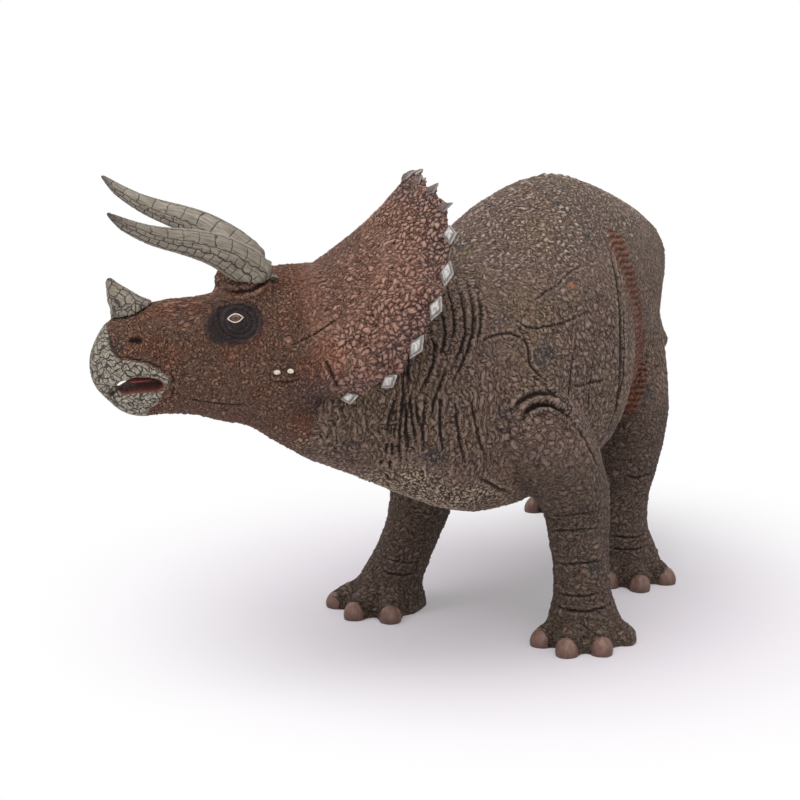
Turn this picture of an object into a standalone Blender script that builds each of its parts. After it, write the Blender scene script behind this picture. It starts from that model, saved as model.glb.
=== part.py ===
# Toy horned dinosaur, a painted PVC figure about 22 cm long.
# Metres, +Z up. The figure faces -Y and its left side is +X.
# The torso is two hollow half shells. Head, legs and tail are glued to it on keyed pegs and plugs.
import math

import bmesh
import bpy
from mathutils import Matrix, Vector
from mathutils.bvhtree import BVHTree

# Torso
back_height = 0.1012
torso_length = 0.1555
torso_half_width = 0.0283
neck_turn = 0.0240
shell_wall = 0.0030
torso_top_roundness = 1.10
torso_belly_roundness = 0.92

# Fits and fastenings
clearance = 0.0003
parting_gap = 0.0003
cut_overrun = 0.0020
leg_peg_radius = 0.0040
leg_peg_depth = 0.0055
leg_peg_entry = 0.0028
boss_radius = 0.0036
pin_radius = 0.0018
pin_length = 0.0040
plug_depth = 0.0090
plug_entry = 0.0030
plug_play = 0.0008

# Head: place of its frame from the centre of the neck's open end, turn and sizes
head_set_side = 0.0040
head_set_back = 0.0027
head_set_rise = 0.0100
head_turn = math.radians(56)
head_roll = math.radians(5)
head_length = 0.0502
skull_rise = 0.0140
skull_drop = 0.0285
skull_half_width = 0.0150
skull_roundness = 0.85

# Brow mounds, eyes and nostrils: half sizes along, across and upwards
brow_mound_half_length = 0.0065
brow_mound_half_width = 0.0044
brow_mound_half_height = 0.0052
eye_half_length = 0.0030
eye_half_width = 0.0020
eye_half_height = 0.0022
nostril_half_length = 0.0016
nostril_half_width = 0.0012
nostril_half_height = 0.0009

# Lower jaw and tongue
jaw_peg_radius = 0.0014
jaw_peg_depth = 0.0025
jaw_peg_entry = 0.0022
jaw_peg_side = 0.0050
tongue_length = 0.0066
tongue_half_width = 0.0026
tongue_half_height = 0.0007

# Frill
frill_back = 0.0226
frill_rise = 0.0330
frill_half_width = 0.0265
frill_root_thickness = 0.0042
frill_rim_thickness = 0.0022
frill_sink = 0.0030
frill_hollow = 0.0010
frill_bulge = 0.0016
stud_length = 0.0020
stud_half_width = 0.0018
stud_half_thickness = 0.0013

# Horns
brow_horn_reach = 0.0465
brow_horn_rise = 0.0300
brow_horn_spread = 0.0215
brow_horn_radius = 0.0041
nose_horn_reach = 0.0459
nose_horn_rise = 0.0126
nose_horn_half_length = 0.0053
nose_horn_half_width = 0.0031
horn_peg_radius = 0.0018
horn_peg_depth = 0.0030
nose_peg_radius = 0.0014
nose_peg_depth = 0.0035

# Tail
tail_reach = 0.0205
tail_fall = 0.0275
tail_side = 0.0030

# Legs: height of the leg's axis above the ground and its greatest half sizes
fore_leg_height = 0.064
fore_leg_half_side = 0.0096
fore_leg_half_depth = 0.0120
hind_leg_height = 0.078
hind_leg_half_side = 0.0104
hind_leg_half_depth = 0.0172
foot_height = 0.0085
fore_foot_radius = 0.0090
hind_foot_radius = 0.0088
toe_half_length = 0.0052
toe_half_width = 0.0036
toe_half_height = 0.0050
claw_half_length = 0.0030
claw_half_width = 0.0028
claw_half_height = 0.0036
limb_roundness = 0.92

# Faces that meet at more than this angle keep a sharp edge
crease_angle = math.radians(50)

# Counts of sides and rings
torso_sides = 28
torso_rings_count = 32
skull_sides = 24
skull_rings_count = 24
limb_sides = 18
limb_rings_count = 13
horn_sides = 12
peg_sides = 8
lump_sides = 12
lump_rings = 7
frill_turns = 33
frill_steps = 40
tail_rings_count = 14
tongue_rings_count = 8

# Torso rings from the rump to the neck, as shares:
# along the torso, sideways turn, centre height, half width, rise, drop
torso_ring_shares = (
    (0.000, 0.000, 0.711, 0.290, 0.116, 0.102),
    (0.039, 0.000, 0.707, 0.360, 0.144, 0.128),
    (0.103, 0.000, 0.697, 0.445, 0.187, 0.178),
    (0.186, 0.000, 0.682, 0.565, 0.237, 0.227),
    (0.277, 0.000, 0.667, 0.685, 0.283, 0.267),
    (0.373, 0.000, 0.655, 0.745, 0.326, 0.301),
    (0.463, 0.000, 0.639, 0.795, 0.359, 0.321),
    (0.547, 0.000, 0.620, 0.912, 0.366, 0.323),
    (0.630, 0.000, 0.596, 1.000, 0.351, 0.306),
    (0.720, 0.000, 0.576, 0.947, 0.316, 0.286),
    (0.804, 0.042, 0.571, 0.813, 0.272, 0.279),
    (0.881, 0.250, 0.586, 0.671, 0.212, 0.238),
    (0.939, 0.542, 0.606, 0.550, 0.170, 0.205),
    (1.000, 1.000, 0.625, 0.460, 0.138, 0.168),
)

# Skull rings from the neck to the beak, as shares:
# forward, top, bottom, half width
skull_ring_shares = (
    (-0.080, 0.760, 0.880, 0.640),
    (0.000, 1.000, 1.000, 0.880),
    (0.120, 1.000, 0.940, 1.000),
    (0.240, 0.965, 0.815, 0.990),
    (0.360, 0.860, 0.680, 0.930),
    (0.458, 0.615, 0.650, 0.800),
    (0.578, 0.535, 0.593, 0.660),
    (0.697, 0.515, 0.582, 0.550),
    (0.797, 0.415, 0.600, 0.470),
    (0.876, 0.315, 0.561, 0.380),
    (0.936, 0.170, 0.463, 0.280),
    (0.980, -0.100, 0.375, 0.170),
    (1.000, -0.310, 0.267, 0.060),
)

# Places on the skull, as shares: forward, upward, sideways
brow_mound_shares = (0.350, 0.640, 0.470)
eye_shares = (0.416, 0.380, 0.710)
nostril_shares = (0.819, -0.014, 0.390)

# Mouth opening seen from the side: forward, downward
mouth_outline_shares = (
    (0.912, 0.400), (0.876, 0.323), (0.831, 0.288), (0.775, 0.277), (0.727, 0.295),
    (0.695, 0.333), (0.743, 0.361), (0.789, 0.372), (0.845, 0.382),
)

# Block that holds the lower jaw, seen from the side: forward, downward
jaw_outline_shares = (
    (0.912, 0.402), (0.845, 0.384), (0.743, 0.363), (0.695, 0.342), (0.520, 0.420),
    (0.360, 0.570), (0.260, 0.950), (1.040, 0.950), (0.932, 0.500), (0.925, 0.455),
)
jaw_peg_place_shares = (0.440, 0.495)
corner_spread_share = 0.5

# Tongue rings: along, width, height
tongue_ring_shares = (
    (0.0, 0.25, 0.25), (0.2, 0.85, 0.85), (0.6, 1.0, 1.0), (0.85, 0.8, 0.8), (1.0, 0.3, 0.3),
)
tongue_root_shares = (0.727, 0.343)
tongue_tip_shares = (0.858, 0.358)

# Frill from the crest to its lower corner, as shares of the skull for the root and of the frill
# for the rim: root forward, root up, root side, rim forward, rim up, rim side
frill_row_shares = (
    (0.012, 1.020, 0.000, -0.700, 0.980, 0.000),
    (0.025, 1.000, 0.177, -0.780, 0.970, 0.180),
    (0.050, 0.945, 0.346, -0.875, 0.935, 0.370),
    (0.080, 0.850, 0.507, -0.925, 0.860, 0.535),
    (0.110, 0.710, 0.654, -0.925, 0.720, 0.700),
    (0.140, 0.530, 0.777, -0.885, 0.545, 0.850),
    (0.165, 0.320, 0.875, -0.805, 0.405, 0.950),
    (0.190, 0.085, 0.937, -0.680, 0.220, 1.000),
    (0.215, -0.078, 0.981, -0.530, 0.030, 0.980),
    (0.225, -0.197, 0.981, -0.335, -0.150, 0.905),
    (0.230, -0.301, 0.937, -0.020, -0.260, 0.755),
    (0.223, -0.386, 0.839, 0.200, -0.270, 0.600),
)

# Places across the frill from inside the skull, at -1, past the root to the rim
frill_along_shares = (-1.0, 0.0, 0.16, 0.34, 0.52, 0.70, 0.86, 1.0)
frill_bulge_share = 0.33
frill_probe_share = 0.01

# Studs along each half of the rim, from the crest to the corner
stud_turn_shares = (0.08, 0.16, 0.26, 0.37, 0.48, 0.585, 0.685, 0.78, 0.865)
stud_slice_share = 0.03
stud_inner_share = 0.90
stud_root_share = 0.50
stud_waist_share = 0.10

# Horn rings: forward, up, sideways, half size
brow_horn_ring_shares = (
    (0.305, 0.320, 0.260, 0.950),
    (0.378, 0.500, 0.325, 1.000),
    (0.480, 0.620, 0.430, 0.900),
    (0.566, 0.692, 0.520, 0.800),
    (0.656, 0.742, 0.605, 0.690),
    (0.742, 0.780, 0.700, 0.580),
    (0.839, 0.835, 0.800, 0.455),
    (0.930, 0.912, 0.907, 0.320),
    (1.000, 1.000, 1.000, 0.090),
)
brow_horn_flat_share = 0.92

# Nose horn rings: forward, up, half length, half width
nose_horn_ring_shares = (
    (0.885, 0.200, 1.000, 1.000),
    (0.893, 0.450, 0.950, 0.940),
    (0.911, 0.587, 0.870, 0.840),
    (0.937, 0.660, 0.670, 0.700),
    (0.963, 0.778, 0.460, 0.520),
    (0.989, 0.897, 0.250, 0.320),
    (1.000, 1.000, 0.080, 0.100),
)
nose_peg_place_shares = (0.890, 0.500)

# Tail rings: backward, sideways, downward, half width, half depth
tail_ring_shares = (
    (0.00, 0.00, 0.000, 1.00, 1.00),
    (0.20, -0.33, 0.030, 0.96, 0.90),
    (0.40, -0.75, 0.115, 0.88, 0.74),
    (0.53, -1.00, 0.270, 0.76, 0.60),
    (0.62, -0.85, 0.470, 0.62, 0.47),
    (0.72, -0.30, 0.680, 0.48, 0.36),
    (0.84, 0.35, 0.870, 0.36, 0.27),
    (1.00, 1.00, 1.000, 0.22, 0.17),
)

# Leg rings from the body down: sideways and forward from the foot as shares of the leg's height,
# height, half side, half depth
front_left_ring_shares = (
    (-0.275, 0.240, 1.000, 0.680, 0.800),
    (-0.165, 0.205, 0.859, 0.940, 0.980),
    (-0.095, 0.135, 0.734, 0.950, 0.930),
    (-0.062, 0.050, 0.609, 0.870, 0.800),
    (-0.040, -0.005, 0.500, 0.780, 0.660),
    (-0.028, 0.000, 0.406, 0.710, 0.580),
    (-0.014, 0.004, 0.281, 0.640, 0.510),
    (-0.006, 0.006, 0.164, 0.670, 0.550),
)
front_right_ring_shares = (
    (0.250, -0.144, 1.000, 0.833, 0.917),
    (0.188, -0.144, 0.859, 0.950, 1.000),
    (0.141, -0.144, 0.734, 1.000, 1.000),
    (0.109, -0.139, 0.609, 0.938, 0.883),
    (0.094, -0.128, 0.500, 0.833, 0.733),
    (0.083, -0.113, 0.375, 0.750, 0.620),
    (0.061, -0.073, 0.266, 0.660, 0.545),
    (0.028, -0.034, 0.156, 0.670, 0.560),
)
rear_left_ring_shares = (
    (-0.190, -0.334, 1.000, 0.650, 0.800),
    (-0.168, -0.308, 0.872, 0.930, 0.950),
    (-0.128, -0.268, 0.744, 0.980, 0.917),
    (-0.077, -0.203, 0.615, 0.920, 0.760),
    (-0.037, -0.150, 0.519, 0.830, 0.620),
    (-0.028, -0.118, 0.423, 0.740, 0.510),
    (-0.036, -0.098, 0.333, 0.680, 0.440),
    (-0.050, -0.078, 0.237, 0.650, 0.405),
    (-0.040, -0.045, 0.147, 0.665, 0.415),
)
rear_right_ring_shares = (
    (0.170, 0.385, 1.000, 0.650, 0.800),
    (0.142, 0.372, 0.872, 0.930, 0.950),
    (0.085, 0.346, 0.744, 1.000, 0.917),
    (0.042, 0.300, 0.615, 0.940, 0.760),
    (0.010, 0.240, 0.519, 0.850, 0.620),
    (-0.003, 0.155, 0.423, 0.750, 0.510),
    (-0.003, 0.080, 0.333, 0.690, 0.440),
    (0.000, 0.025, 0.237, 0.660, 0.405),
    (0.000, 0.004, 0.147, 0.670, 0.415),
)

# Feet: sideways as a share of the torso's half width, along the torso from the rump
front_left_foot_shares = (0.912, 0.752)
front_right_foot_shares = (-0.883, 0.722)
rear_left_foot_shares = (0.690, 0.417)
rear_right_foot_shares = (-0.560, 0.039)

# Foot rings above the sole: height, spread from the ankle to the foot's radius
foot_ring_shares = ((0.62, 0.55), (0.22, 0.95), (0.0, 1.0))

# Toes: heading in degrees from straight ahead towards the left, reach from the foot's centre
front_left_toe_shares = ((-42, 0.68), (1, 0.85), (40, 0.68), (97, 0.60))
front_right_toe_shares = ((-62, 0.82), (-14, 0.88), (27, 0.86), (-108, 0.62))
rear_left_toe_shares = ((-4, 0.76), (32, 0.98), (76, 0.76))
rear_right_toe_shares = ((-38, 0.84), (-2, 0.96), (40, 0.84))
toe_lift_share = 0.30
claw_reach_share = 0.72

# Height of each leg's peg, as a share of the leg's height
fore_peg_height_share = 0.60
hind_peg_height_share = 0.64

# Bosses that locate the two torso halves: along the torso, height
boss_place_shares = ((0.14, 0.74), (0.42, 0.42), (0.50, 0.82), (0.74, 0.47))


def clear_scene():
    for thing in list(bpy.data.objects):
        bpy.data.objects.remove(thing)


def material(name, colour, roughness):
    made = bpy.data.materials.new(name)
    made.use_nodes = True
    shader = made.node_tree.nodes["Principled BSDF"]
    shader.inputs["Base Color"].default_value = (*colour, 1.0)
    shader.inputs["Roughness"].default_value = roughness
    shader.inputs["Metallic"].default_value = 0.0
    return made


def add_object(name, mesh_data, finish, parent):
    thing = bpy.data.objects.new(name, mesh_data)
    bpy.context.scene.collection.objects.link(thing)
    thing.parent = parent
    if finish:
        mesh_data.materials.append(finish)
    return thing


# Rows on a smooth curve through the given rows
def spread_rows(rows, count):
    made = []
    last = len(rows) - 1
    for step in range(count):
        place = step * last / (count - 1)
        index = min(int(place), last - 1)
        t = place - index
        before = rows[max(index - 1, 0)]
        start = rows[index]
        end = rows[index + 1]
        after = rows[min(index + 2, last)]
        made.append(tuple(
            b + (c - a) * t / 2 + (a - 2.5 * b + 2 * c - d / 2) * t ** 2
            + (1.5 * (b - c) + (d - a) / 2) * t ** 3
            for a, b, c, d in zip(before, start, end, after)))
    return made


# Mesh of closed rings joined in order, with a fan at each end
def loft(rings):
    shape = bmesh.new()
    rows = [[shape.verts.new(point) for point in ring] for ring in rings]
    count = len(rows[0])
    for row, after in zip(rows, rows[1:]):
        for i in range(count):
            j = (i + 1) % count
            shape.faces.new((row[i], row[j], after[j], after[i]))
    for row in (rows[0], rows[-1]):
        middle = shape.verts.new(sum((corner.co for corner in row), Vector()) / count)
        for i in range(count):
            shape.faces.new((row[i], row[(i + 1) % count], middle))
    return shape


def finish_mesh(name, shape, smooth=True):
    bmesh.ops.recalc_face_normals(shape, faces=shape.faces)
    data = bpy.data.meshes.new(name)
    shape.to_mesh(data)
    shape.free()
    if smooth:
        data.shade_smooth()
        data.set_sharp_from_angle(angle=crease_angle)
    return data


# Tangent at each point of a path
def tangents_along(points):
    made = []
    for i in range(len(points)):
        before = points[max(i - 1, 0)]
        after = points[min(i + 1, len(points) - 1)]
        made.append((after - before).normalized())
    return made


# Sideways and upward directions square to a tangent
def across_and_up(tangent):
    side = Vector((-tangent.y, tangent.x, 0)).normalized()
    up = side.cross(tangent)
    return side, -up if up.z < 0 else up


# Egg-shaped ring, first point on top, going towards the side.
# A roundness of 1 is an ellipse, less is fuller and more is leaner.
def egg_ring(centre, side, up, half_width, rise, drop, count, roundness=1.0, top_roundness=None):
    ring = []
    for i in range(count):
        angle = 2 * math.pi * i / count
        across = math.sin(angle)
        along = math.cos(angle)
        reach = rise if along > 0 else drop
        power = top_roundness if along > 0 and top_roundness else roundness
        ring.append(
            centre + side * (math.copysign(abs(across) ** power, across) * half_width)
            + up * (math.copysign(abs(along) ** power, along) * reach))
    return ring


# Applied boolean; the cutter stays in the scene. The limbs and the head take the MANIFOLD solver,
# because EXACT leaves open edges where their toes and studs crowd together.
def boolean(target, cutter, operation):
    step = target.modifiers.new("step", "BOOLEAN")
    step.operation = operation
    step.solver = "MANIFOLD" if target.name.endswith(("_leg", "head")) else "EXACT"
    step.object = cutter
    bpy.context.view_layer.update()
    evaluated = target.evaluated_get(bpy.context.evaluated_depsgraph_get())
    made = bpy.data.meshes.new_from_object(evaluated)
    target.modifiers.remove(step)
    made.name = target.name
    target.data = made


def remove(*things):
    for thing in things:
        bpy.data.objects.remove(thing)


# Shape used only for cutting or joining
def helper(name, shape, parent):
    thing = add_object(name, finish_mesh(name, shape, False), None, parent)
    thing.hide_render = True
    thing.display_type = "WIRE"
    return thing


def join_shape(target, shape, parent):
    added = helper("added", shape, parent)
    boolean(target, added, "UNION")
    remove(added)


def cut_shape(target, shape, parent):
    cutter = helper("cutter", shape, parent)
    boolean(target, cutter, "DIFFERENCE")
    remove(cutter)


# Straight prism from start to end
def prism_between(start, end, radius, sides=peg_sides):
    axis = (end - start).normalized()
    side = axis.orthogonal().normalized()
    up = axis.cross(side)
    return loft([egg_ring(centre, side, up, radius, radius, radius, sides) for centre in (start, end)])


# Rounded lump along a heading, for mounds, eyes, toes and claws
def lump(centre, heading, half_length, half_width, half_height, growth=0.0):
    up = Vector((0, 0, 1))
    across = heading.cross(up).normalized()
    rings = []
    for i in range(1, lump_rings):
        angle = math.pi * i / lump_rings
        size = math.sin(angle)
        reach = -math.cos(angle) * (half_length + growth)
        rings.append(egg_ring(centre + heading * reach, across, up, (half_width + growth) * size,
                              (half_height + growth) * size, (half_height + growth) * size, lump_sides))
    return loft(rings)


# Torso

def torso_path():
    points = []
    sizes = []
    for along, turn, height, width, rise, drop in spread_rows(torso_ring_shares, torso_rings_count):
        points.append(Vector((-turn * neck_turn, -along * torso_length, height * back_height)))
        sizes.append((width * torso_half_width, rise * back_height, drop * back_height))
    return points, tangents_along(points), sizes


# Rings of the torso's skin moved outwards by the growth, with its ends moved by the same
def torso_rings(growth, ends):
    points, tangents, sizes = torso_path()
    rings = []
    last = len(points) - 1
    for i, (point, tangent, (width, rise, drop)) in enumerate(zip(points, tangents, sizes)):
        side, up = across_and_up(tangent)
        shift = tangent * (ends if i == last else -ends if i == 0 else 0.0)
        rings.append(egg_ring(point + shift, side, up, width + growth, rise + growth, drop + growth,
                              torso_sides, torso_belly_roundness, torso_top_roundness))
    return rings


# Half of the hollow torso: an outer and an inner skin joined along the parting line
def torso_half(name, sign, finish, parent):
    outer = torso_rings(0.0, 0.0)
    inner = torso_rings(-shell_wall, 0.0)
    half = torso_sides // 2
    tangents = torso_path()[1]
    order = [(sign * i) % torso_sides for i in range(half + 1)]
    shape = bmesh.new()
    loops = []
    for outer_ring, inner_ring, tangent in zip(outer, inner, tangents):
        side = across_and_up(tangent)[0]
        if side.x < 0:
            side = -side
        shift = side * (sign * parting_gap / 2)
        chain = [outer_ring[i] + shift for i in order] + [inner_ring[i] + shift for i in reversed(order)]
        loops.append([shape.verts.new(point) for point in chain])
    count = len(loops[0])
    for row, after in zip(loops, loops[1:]):
        for i in range(count):
            j = (i + 1) % count
            shape.faces.new((row[i], row[j], after[j], after[i]))
    for row in (loops[0], loops[-1]):
        for i in range(half):
            shape.faces.new((row[i], row[i + 1], row[count - 2 - i], row[count - 1 - i]))
    return add_object(name, finish_mesh(name, shape), finish, parent)


def torso_solid(growth):
    return loft(torso_rings(growth, growth))


# Search tree of the torso's skin moved outwards by the growth
def torso_tree(growth):
    shape = torso_solid(growth)
    tree = BVHTree.FromBMesh(shape)
    shape.free()
    return tree


# Sideways place of a skin at a place along the torso and a height
def skin_side(tree, sign, along_y, level):
    start = Vector((sign * torso_length, along_y, level))
    return tree.ray_cast(start, Vector((-sign, 0, 0)))[0].x


# Bosses across the hollow, pins on the left half and sockets in the right half
def add_bosses(left, right, parent):
    mid_wall = torso_tree(-shell_wall / 2)
    edge = parting_gap / 2
    for along, height in boss_place_shares:
        centre = Vector((0, -along * torso_length, height * back_height))
        for sign, half in ((1, left), (-1, right)):
            reach = min(abs(skin_side(mid_wall, sign, centre.y, centre.z + lift))
                        for lift in (-boss_radius, 0, boss_radius))
            across = Vector((sign, 0, 0))
            boss = prism_between(centre + across * edge, centre + across * reach, boss_radius, limb_sides)
            join_shape(half, boss, parent)
        inward = Vector((-1, 0, 0))
        pin = prism_between(centre - inward * boss_radius, centre + inward * pin_length, pin_radius)
        join_shape(left, pin, parent)
        socket = prism_between(centre, centre + inward * (pin_length + clearance), pin_radius + clearance)
        cut_shape(right, socket, parent)


# Plug that enters an open end of the shells, keyed by its oval section
def end_plug(ring, outward):
    points, tangents, sizes = torso_path()
    tangent = tangents[ring]
    side, up = across_and_up(tangent)
    width, rise, drop = (size - shell_wall - plug_play for size in sizes[ring])
    rings = []
    for reach in (-plug_depth, plug_entry):
        rings.append(egg_ring(points[ring] + tangent * (outward * reach), side, up, width, rise, drop,
                              limb_sides, torso_belly_roundness, torso_top_roundness))
    return loft(rings)


# Legs

def foot_place(shares):
    return Vector((shares[0] * torso_half_width, -shares[1] * torso_length, 0))


def leg_axis(foot, height, rows):
    return [foot + Vector((side, -ahead, level)) * height for side, ahead, level, _, _ in rows]


# Limb rings square to the leg's axis, then flat rings that spread to the sole
def leg_shape(foot, height, half_side, half_depth, foot_radius, shares):
    rows = spread_rows(shares, limb_rings_count)
    axis = leg_axis(foot, height, rows)
    rings = []
    for row, point, tangent in zip(rows, axis, tangents_along(axis)):
        ahead = Vector((0, -1, 0))
        ahead = (ahead - tangent * ahead.dot(tangent)).normalized()
        side = ahead.cross(tangent).normalized()
        if side.x < 0:
            side = -side
        rings.append(egg_ring(point, ahead, side, row[4] * half_depth, row[3] * half_side, row[3] * half_side,
                              limb_sides, limb_roundness))
    ankle = rows[-1][4] * half_depth
    for level, spread in foot_ring_shares:
        radius = ankle + (foot_radius - ankle) * spread
        middle = foot + Vector((0, 0, level * foot_height))
        rings.append(egg_ring(middle, Vector((0, -1, 0)), Vector((1, 0, 0)), radius, radius, radius,
                              limb_sides, limb_roundness))
    return loft(rings)


def add_toes(leg, foot, radius, toes, parent):
    for degrees, reach in toes:
        angle = math.radians(degrees)
        heading = Vector((math.sin(angle), -math.cos(angle), 0))
        centre = foot + heading * (radius * reach)
        toe_centre = centre + Vector((0, 0, toe_half_height * toe_lift_share))
        join_shape(leg, lump(toe_centre, heading, toe_half_length, toe_half_width, toe_half_height), parent)
        claw_centre = centre + heading * (toe_half_length * claw_reach_share)
        claw_centre.z = claw_half_height * toe_lift_share
        claw = lump(claw_centre, heading, claw_half_length, claw_half_width, claw_half_height)
        join_shape(leg, claw, parent)


# Everything below the ground under a foot
def ground_block(foot):
    block = bmesh.new()
    size = 2 * (fore_leg_height + hind_leg_height)
    bmesh.ops.create_cube(block, size=size, matrix=Matrix.Translation((foot.x, foot.y, -size / 2)))
    return block


# Peg from the leg through the torso's skin, where the leg stands outside it
def peg_leg(leg, half, axis, level, tree, parent):
    place = min(axis, key=lambda point: abs(point.z - level))
    sign = 1 if place.x > 0 else -1
    skin = Vector((skin_side(tree, sign, place.y, place.z), place.y, place.z))
    across = Vector((sign, 0, 0))
    inner = skin - across * leg_peg_depth
    outer = skin + across * leg_peg_entry
    join_shape(leg, prism_between(inner, outer, leg_peg_radius), parent)
    cut_shape(half, prism_between(inner - across * (clearance + cut_overrun), outer + across * cut_overrun,
                                  leg_peg_radius + clearance), parent)


def make_leg(name, foot_shares, rings, toes, front, half, tree, finish, parent):
    foot = foot_place(foot_shares)
    height = fore_leg_height if front else hind_leg_height
    half_side = fore_leg_half_side if front else hind_leg_half_side
    half_depth = fore_leg_half_depth if front else hind_leg_half_depth
    radius = fore_foot_radius if front else hind_foot_radius
    peg_level = height * (fore_peg_height_share if front else hind_peg_height_share)
    leg = add_object(name, finish_mesh(name, leg_shape(foot, height, half_side, half_depth, radius, rings)),
                     finish, parent)
    add_toes(leg, foot, radius, toes, parent)
    cut_shape(leg, ground_block(foot), parent)
    cut_shape(leg, torso_solid(clearance + parting_gap / 2), parent)
    axis = leg_axis(foot, height, spread_rows(rings, limb_rings_count))
    peg_leg(leg, half, axis, peg_level, tree, parent)
    return leg


def make_legs(left, right, finish, parent):
    tree = torso_tree(0.0)
    legs = (
        ("front_left_leg", front_left_foot_shares, front_left_ring_shares,
         front_left_toe_shares, True, left),
        ("front_right_leg", front_right_foot_shares, front_right_ring_shares,
         front_right_toe_shares, True, right),
        ("rear_left_leg", rear_left_foot_shares, rear_left_ring_shares,
         rear_left_toe_shares, False, left),
        ("rear_right_leg", rear_right_foot_shares, rear_right_ring_shares,
         rear_right_toe_shares, False, right),
    )
    for name, foot_shares, rings, toes, front, half in legs:
        make_leg(name, foot_shares, rings, toes, front, half, tree, finish, parent)


# Tail

def make_tail(finish, parent):
    points, _, sizes = torso_path()
    width, rise, drop = sizes[0]
    root = points[0] + Vector((0, clearance, 0))
    rows = spread_rows(tail_ring_shares, tail_rings_count)
    axis = [root + Vector((side * tail_side, back * tail_reach, -down * tail_fall))
            for back, side, down, _, _ in rows]
    rings = []
    for row, point, tangent in zip(rows, axis, tangents_along(axis)):
        side, up = across_and_up(tangent)
        rings.append(egg_ring(point, side, up, row[3] * width, row[4] * rise, row[4] * drop, torso_sides,
                              torso_belly_roundness, torso_top_roundness))
    tail = add_object("tail", finish_mesh("tail", loft(rings)), finish, parent)
    cut_shape(tail, torso_solid(clearance), parent)
    join_shape(tail, end_plug(0, -1), parent)
    return tail


# Head. Its frame looks along -Y, and a place is given as forward, up and sideways.

def head_point(forward, up, side=0.0):
    return Vector((side, -forward, up))


# Height on the skull: a share of its rise above the frame's centre or of its drop below it
def skull_level(share):
    return share * (skull_rise if share > 0 else skull_drop)


def skull_place(shares, sign):
    forward, up, side = shares
    return head_point(forward * head_length, skull_level(up), sign * side * skull_half_width)


def skull_shape(growth):
    rings = []
    for forward, top, bottom, width in spread_rows(skull_ring_shares, skull_rings_count):
        high = top * skull_rise + growth
        low = -bottom * skull_drop - growth
        centre = head_point(forward * head_length, (high + low) / 2)
        half = (high - low) / 2
        rings.append(egg_ring(centre, Vector((1, 0, 0)), Vector((0, 0, 1)), width * skull_half_width + growth,
                              half, half, skull_sides, skull_roundness))
    return loft(rings)


def brow_mound(sign, growth):
    return lump(skull_place(brow_mound_shares, sign), Vector((0, -1, 0)), brow_mound_half_length,
                brow_mound_half_width, brow_mound_half_height, growth)


def eye_bump(sign):
    return lump(skull_place(eye_shares, sign), Vector((0, -1, 0)), eye_half_length, eye_half_width,
                eye_half_height)


def nostril_pit(sign):
    return lump(skull_place(nostril_shares, sign), Vector((0, -1, 0)), nostril_half_length,
                nostril_half_width, nostril_half_height)


# Prism across the head with an outline in its side view, moved outwards by the growth
def side_block(shares, growth, half_width):
    points = [Vector((-forward * head_length, -down * skull_drop)) for forward, down in shares]
    area = sum(a.x * b.y - b.x * a.y for a, b in zip(points, points[1:] + points[:1]))
    turn = math.copysign(1, area)
    count = len(points)
    outline = []
    for i, point in enumerate(points):
        into = (point - points[i - 1]).normalized()
        out = (points[(i + 1) % count] - point).normalized()
        normal = Vector((into.y + out.y, -into.x - out.x)).normalized() * turn
        spread = max(normal.dot(Vector((into.y, -into.x)) * turn), corner_spread_share)
        outline.append(point + normal * (growth / spread))
    shape = bmesh.new()
    rows = [[shape.verts.new((side, point.x, point.y)) for point in outline]
            for side in (-half_width, half_width)]
    for i in range(count):
        j = (i + 1) % count
        shape.faces.new((rows[0][i], rows[0][j], rows[1][j], rows[1][i]))
    for row in rows:
        shape.faces.new(row)
    return shape


# Point of the frill's front face: turn 0 at the crest to 1 at the corner, along 0 at the root to 1 at
# the rim. Below 0 it is sunk into the skull.
def frill_surface(turn, along):
    rows = spread_rows(frill_row_shares, frill_steps + 1)
    row = rows[round(min(abs(turn), 1) * frill_steps)]
    root = skull_place(row[:3], 1)
    rim = head_point(row[3] * frill_back, row[4] * frill_rise, row[5] * frill_half_width)
    if along < 0:
        point = root + (root - rim).normalized() * frill_sink
    else:
        point = root.lerp(rim, along)
        arch = math.sin(math.pi * along)
        point.z -= frill_hollow * arch * (1 - abs(turn))
        point.x += frill_bulge * arch * min(abs(turn) / frill_bulge_share, 1)
    if turn < 0:
        point.x = -point.x
    return point


# Outward normal of the frill's front face
def frill_normal(turn, along):
    step = 1 / frill_steps
    near = max(min(turn, 1 - step), -1 + step)
    level = max(along, frill_probe_share)
    beside = frill_surface(near + step, level) - frill_surface(near - step, level)
    outward = frill_surface(near, 1) - frill_surface(near, 0)
    normal = beside.cross(outward).normalized()
    return -normal if normal.y > 0 else normal


def frill_shape():
    shape = bmesh.new()
    fronts = []
    backs = []
    for i in range(frill_turns):
        turn = -1 + 2 * i / (frill_turns - 1)
        front_row = []
        back_row = []
        for along in frill_along_shares:
            point = frill_surface(turn, along)
            thickness = frill_root_thickness + (frill_rim_thickness - frill_root_thickness) * max(along, 0)
            front_row.append(shape.verts.new(point))
            back_row.append(shape.verts.new(point - frill_normal(turn, along) * thickness))
        fronts.append(front_row)
        backs.append(back_row)
    last = len(frill_along_shares) - 1
    for i in range(frill_turns - 1):
        for j in range(last):
            shape.faces.new((fronts[i][j], fronts[i + 1][j], fronts[i + 1][j + 1], fronts[i][j + 1]))
            shape.faces.new((backs[i][j], backs[i][j + 1], backs[i + 1][j + 1], backs[i + 1][j]))
        shape.faces.new((fronts[i][last], fronts[i + 1][last], backs[i + 1][last], backs[i][last]))
        shape.faces.new((fronts[i][0], backs[i][0], backs[i + 1][0], fronts[i + 1][0]))
    for i in (0, frill_turns - 1):
        for j in range(last):
            shape.faces.new((fronts[i][j], fronts[i][j + 1], backs[i][j + 1], backs[i][j]))
    return shape


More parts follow.
